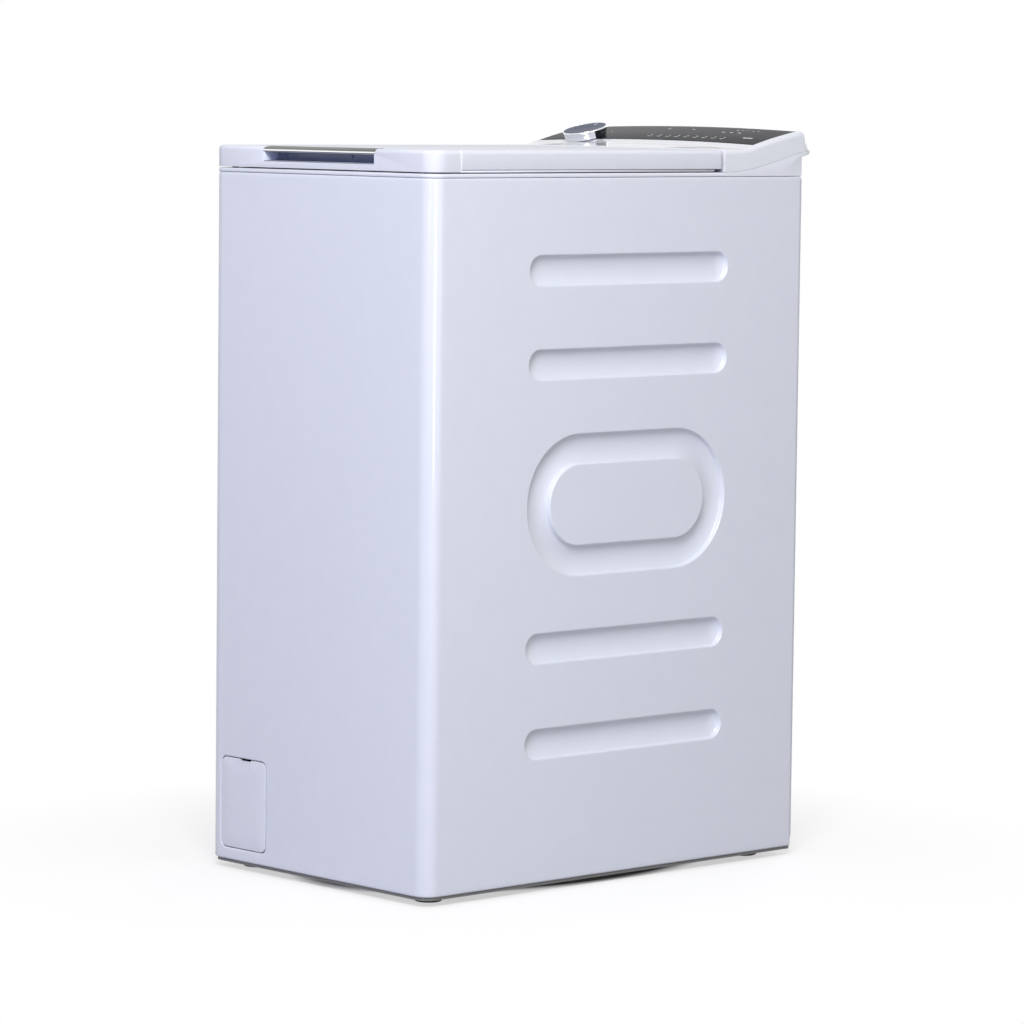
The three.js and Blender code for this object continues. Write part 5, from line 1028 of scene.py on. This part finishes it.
cap_x, cap_z = -134.0, 82.0
cap_rib_pitch = 3.4
charcoal_moulding = surface("charcoal_moulding", (46, 47, 52), (56, 57, 62), (0.4, 0.55), 14, 500, 0.2, 0.0001)
cap_profile = [(0, 22), (28.4, 22), (29.6, 22.4), (30, 23.2), (30, 25.4), (29.4, 26), (24.3, 26), (24, 29.7)]
for start in [k * cap_rib_pitch for k in range(4)]:
    cap_profile += [(24, 31 + start), (23.2, 31.8 + start), (23.2, 33 + start), (24, 33.8 + start)]
cap_profile += [(24, 45.6), (23.4, 46), (0, 46)]
filter_cap = new_piece("filter_cap_body", *turned("y", cap_profile, (cap_x, cap_z), 64, False),
                       charcoal_moulding, 40)
grip = prism("y", rounded_rectangle(cap_x - 21, cap_x + 21, cap_z - 4, cap_z + 4, 3.4, 6), 14, 23)
carve(filter_cap, adds=[grip], smooth_angle=40)
soften(filter_cap, 0.5)
finished(filter_cap, "filter_cap", "dark_plastic", "filter_cap")

# ---------------------------------------------------------------- bellows
# A moulded grey rubber bellows joins the tub's neck to the mouth in the top frame, with one
# fold that lets the tub swing. It is clipped on at both ends.
grey_rubber = surface("grey_rubber", (74, 76, 79), (84, 86, 89), (0.5, 0.66), 12, 600, 0.2, 0.0001)
bellows_line = curve_between([(700.3, 0), (712, 0.2), (722, 1.2), (736, 6), (750, 10.6), (762, 12), (774, 11.8),
                              (786, 11), (795, 6.5), (806, 1), (820, 0.4), (838, 1.6), (849.7, 3)], 4)
bellows_rows = [flat_ring(rounded_rectangle(-140, 140, 112, 438, 26 + out, 10, out), z)
                for z, out in bellows_line]
bellows = new_piece("bellows_skin", *skin(bellows_rows, True), grey_rubber, 60)
thicken(bellows, 2.8, 60)
finished(bellows, "cabinet", "rubber", "bellows")

# ---------------------------------------------------------------- drum, hatch flaps and release button
# A stainless drum, perforated all round, lies across the cabinet. Two curved flaps close its
# hatch; each turns on a curled edge. Pressing the plastic button in the front flap frees them.
stainless_sheet = surface("stainless_sheet", (176, 178, 181), (192, 194, 196), (0.24, 0.36), 5,
                          90, 0.06, 0.00005, metallic=0.95, stretch=(1, 30, 30))
axis_y, axis_z = 275.0, 430.0
drum_radius, drum_half, drum_sheet = 228.0, 146.0, 1.2
hole_radius = 2.0


def on_drum(loop, radius):
    """Points from (x, degrees from the drum's top, towards the rear)."""
    turns = [(x, math.radians(degrees)) for x, degrees in loop]
    return [(x, axis_y + radius * math.sin(turn), axis_z + radius * math.cos(turn)) for x, turn in turns]


def never(x, a):
    return False


def perforated(xs, angles, skip=never, plain=never):
    """A curved sheet of cells, each with a round hole, with its thickness and its edges."""
    outer, inner = drum_radius, drum_radius - drum_sheet
    turn_scale = math.degrees(hole_radius / outer)
    corners = [k * math.pi / 4 for k in range(8)]
    forms = []
    for x0, x1 in zip(xs, xs[1:]):
        for a0, a1 in zip(angles, angles[1:]):
            xm, am = (x0 + x1) / 2, (a0 + a1) / 2
            if skip(xm, am):
                continue
            border = [(x1, am), (x1, a1), (xm, a1), (x0, a1), (x0, am), (x0, a0), (xm, a0), (x1, a0)]
            if plain(xm, am):
                forms += [(on_drum(border, radius), [tuple(range(8))]) for radius in (outer, inner)]
                continue
            hole = [(xm + hole_radius * math.cos(c), am + turn_scale * math.sin(c)) for c in corners]
            forms += [skin([on_drum(border, radius), on_drum(hole, radius)], True) for radius in (outer, inner)]
            forms.append(skin([on_drum(hole, outer), on_drum(hole, inner)], True))
    return several(*forms)


def sheet_edge(corners):
    """The cut edge of the sheet along a line of (x, degrees) points."""
    return skin([on_drum(corners, drum_radius), on_drum(corners, drum_radius - drum_sheet)])


def evenly(start, end, count):
    return [start + (end - start) * i / count for i in range(count + 1)]


hatch_half, hatch_angle = 112.0, 26.0
hatch_xs = evenly(-hatch_half, hatch_half, 14)
drum_xs = evenly(-drum_half, -hatch_half, 2) + hatch_xs[1:] + evenly(hatch_half, drum_half, 2)[1:]
hatch_angles = evenly(-hatch_angle, hatch_angle, 12)
round_angles = evenly(hatch_angle, 360 - hatch_angle, 76)
drum_forms = [perforated(drum_xs, round_angles),
              perforated(drum_xs, hatch_angles, lambda x, a: abs(x) < hatch_half,
                         lambda x, a: abs(x) < hatch_half + 17)]
drum_forms += [sheet_edge([(x, angle) for x in hatch_xs]) for angle in (hatch_angle, -hatch_angle)]
for side in (-1, 1):
    drum_forms.append(sheet_edge([(side * hatch_half, a) for a in hatch_angles]))
    drum_forms.append(sheet_edge([(side * drum_half, a) for a in hatch_angles + round_angles[1:]]))
drum = new_piece("drum_perforated_shell", *several(*drum_forms), stainless_sheet, 30)
finished(drum, "drum", "steel", "drum_shell")

flap_half, flap_inner, flap_outer = 111.5, 0.2, 24.7
hinge_radius = 226
button_half, button_near, button_far = 13, 2.73, 7.27
side_xs = evenly(button_half, flap_half, 7)
flap_angles = [flap_inner, button_near, button_far] + evenly(button_far, flap_outer, 5)[1:]


def hatch_door(side, mid_xs, skip=never):
    angles = sorted(side * a for a in flap_angles)
    all_xs = [-x for x in side_xs[::-1]] + mid_xs + side_xs
    hinge = math.radians(flap_outer)
    centre = (axis_y + side * hinge_radius * math.sin(hinge), axis_z + hinge_radius * math.cos(hinge))
    return several(perforated(all_xs, angles, skip, lambda x, a: abs(a) < button_near),
                   sheet_edge([(x, side * flap_inner) for x in all_xs]),
                   *[sheet_edge([(end, a) for a in angles]) for end in (-flap_half, flap_half)],
                   rod(3.2, -flap_half, flap_half, centre))


finished(new_piece("hatch_rear_door", *hatch_door(1, [0.0]), stainless_sheet, 30),
         "hatch_flap_rear", "steel", "hatch_flap_rear")
button_hole = [(-button_half, -button_near), (button_half, -button_near), (button_half, -button_far),
               (-button_half, -button_far), (-button_half, -button_near)]
front_form = hatch_door(-1, [], lambda x, a: abs(x) < button_half and button_near < -a < button_far)
front_door = new_piece("hatch_front_door", *several(front_form, sheet_edge(button_hole)), stainless_sheet, 30)
finished(front_door, "hatch_flap_front", "steel", "hatch_flap_front")

button_blue = surface("button_plastic", (158, 170, 190), (170, 181, 199), (0.3, 0.42), 30, 500, 0.1, 0.0001)
button_y, button_z = 255.128, 657.132
button_rows = [
    flat_ring(rounded_rectangle(-button_half, button_half, button_y - 9, button_y + 9,
                                max(3.4 - inset * 0.3, 1.5), 6, -inset), button_z + z)
    for inset, z in ((0.6, -5), (0.5, -4.6), (0.5, -0.4), (0.7, 0.1), (1.4, 0.7), (2.6, 1.2), (4.2, 1.4))]
button = new_piece("hatch_release_button", *skin(button_rows, True, True), button_blue, 40)
finger_dip = [(button_y + y, button_z + z) for y, z in ((-5, 1.0), (-3, 0.4), (3, 0.4), (5, 1.0), (5, 3), (-5, 3))]
carve(button, cuts=[prism("x", finger_dip, -8, 8)])
finished(button, "hatch_button", "tub_plastic", "hatch_button")

# ---------------------------------------------------------------- rear fittings
# Plastic fittings in the rear panel: the threaded inlet of the water valve, the gland where
# the mains cable comes out, and the barbed outlet that the drain hose pushes onto.
valve_x, valve_z, _ = openings_at_rear["valve"]
inlet_profile = [(0, 567), (16.4, 567), (17, 567.6), (17, 610.7), (13, 610.7), (13, 612.4)]
for k in range(4):
    inlet_profile += [(13, 612.8 + k * 2.1), (12.1, 613.8 + k * 2.1)]
inlet_profile += [(12.6, 621.4), (12.2, 622), (10.4, 622), (10, 621.6), (10, 614.2), (0, 614)]
coil_profile = [(0, valve_z - 12), (5.5, valve_z - 16), (5.5, valve_z - 40), (8, valve_z - 40), (8, valve_z),
                (0, valve_z)]
inlet = new_piece("water_inlet", *several(
    turned("y", inlet_profile, (valve_x, valve_z), 48, False),
    prism("x", rounded_rectangle(549, 581, valve_z - 4, valve_z + 34, 3, 4), valve_x - 14, valve_x + 14),
    turned("z", coil_profile, (valve_x, 573), 32, False)), light_grey_moulding, 40)
finished(inlet, "cabinet", "tub_plastic", "inlet_valve")

gland_profile = [(4, 603), (10.6, 603), (11, 603.4), (11, 610.7), (8, 610.7), (8, 612.3), (10.7, 612.3), (11, 612.7),
                 (10.8, 613.8), (10, 614.4), (10.3, 615.2), (10.1, 616), (9.5, 616.5), (9.7, 617.2), (9.3, 619),
                 (8.6, 619.8), (4.6, 620), (4, 619.6)]
gland = turned("y", gland_profile, openings_at_rear["gland"], 40)
finished(new_piece("cable_gland_body", *gland, charcoal_moulding, 40), "cabinet", "dark_plastic", "cable_gland")

outlet_profile = [(9, 581), (13, 581), (13, 603), (17.6, 603), (18, 603.4), (18, 610.7), (12.2, 610.7),
                  (12.2, 614.2), (13, 614.6), (12.2, 617.4), (13, 617.8), (12.2, 620.6), (13, 621),
                  (11.6, 622.8), (11, 623), (9.3, 623), (9, 622.6)]
outlet = turned("y", outlet_profile, openings_at_rear["outlet"])
finished(new_piece("drain_outlet_body", *outlet, pan_plastic, 40), "cabinet", "grey_plastic", "drain_outlet")

# ---------------------------------------------------------------- inner parts
# What the cabinet hides keeps its plain shape: the two tub halves of filled plastic, cast
# shafts and pulley, belt, motor, concrete weights, springs, dampers, pump, lock and board.
filled_plastic = surface("filled_plastic", (190, 193, 198), (202, 205, 209), (0.5, 0.66), 7, 300, 0.2, 0.0002)
cast_metal = surface("cast_aluminium_skin", (166, 168, 171), (184, 186, 188), (0.42, 0.58), 11, 340, 0.25, 0.0002,
                     metallic=0.8)
cast_concrete = surface("cast_concrete", (134, 132, 127), (164, 161, 154), (0.85, 1.0), 22, 160, 0.6, 0.0006)
lacquered_board = surface("lacquered_board", (38, 96, 62), (50, 112, 74), (0.25, 0.4), 60, 240, 0.1, 0.0001,
                          coat=0.3)
dress(filled_plastic, "tub_left", "tub_right", "lifter_front", "lifter_rear", "drain_pump")
dress(stainless_sheet, "drum_end_left", "drum_end_right", "heater", "bearing_left", "bearing_right", "rotor")
dress(cast_metal, "shaft_left", "shaft_right", "drum_pulley", "motor_housing")
dress(cast_concrete, "counterweight_front", "counterweight_rear")
dress(black_rubber, "drive_belt", "sump_hose")
dress(zinc_plate, "spring_front_left", "spring_front_right", "spring_rear_left", "spring_rear_right",
      "damper_rod_front", "damper_rod_rear")
dress(charcoal_moulding, "damper_cylinder_front", "damper_cylinder_rear", "lid_lock")
dress(lacquered_board, "control_board")

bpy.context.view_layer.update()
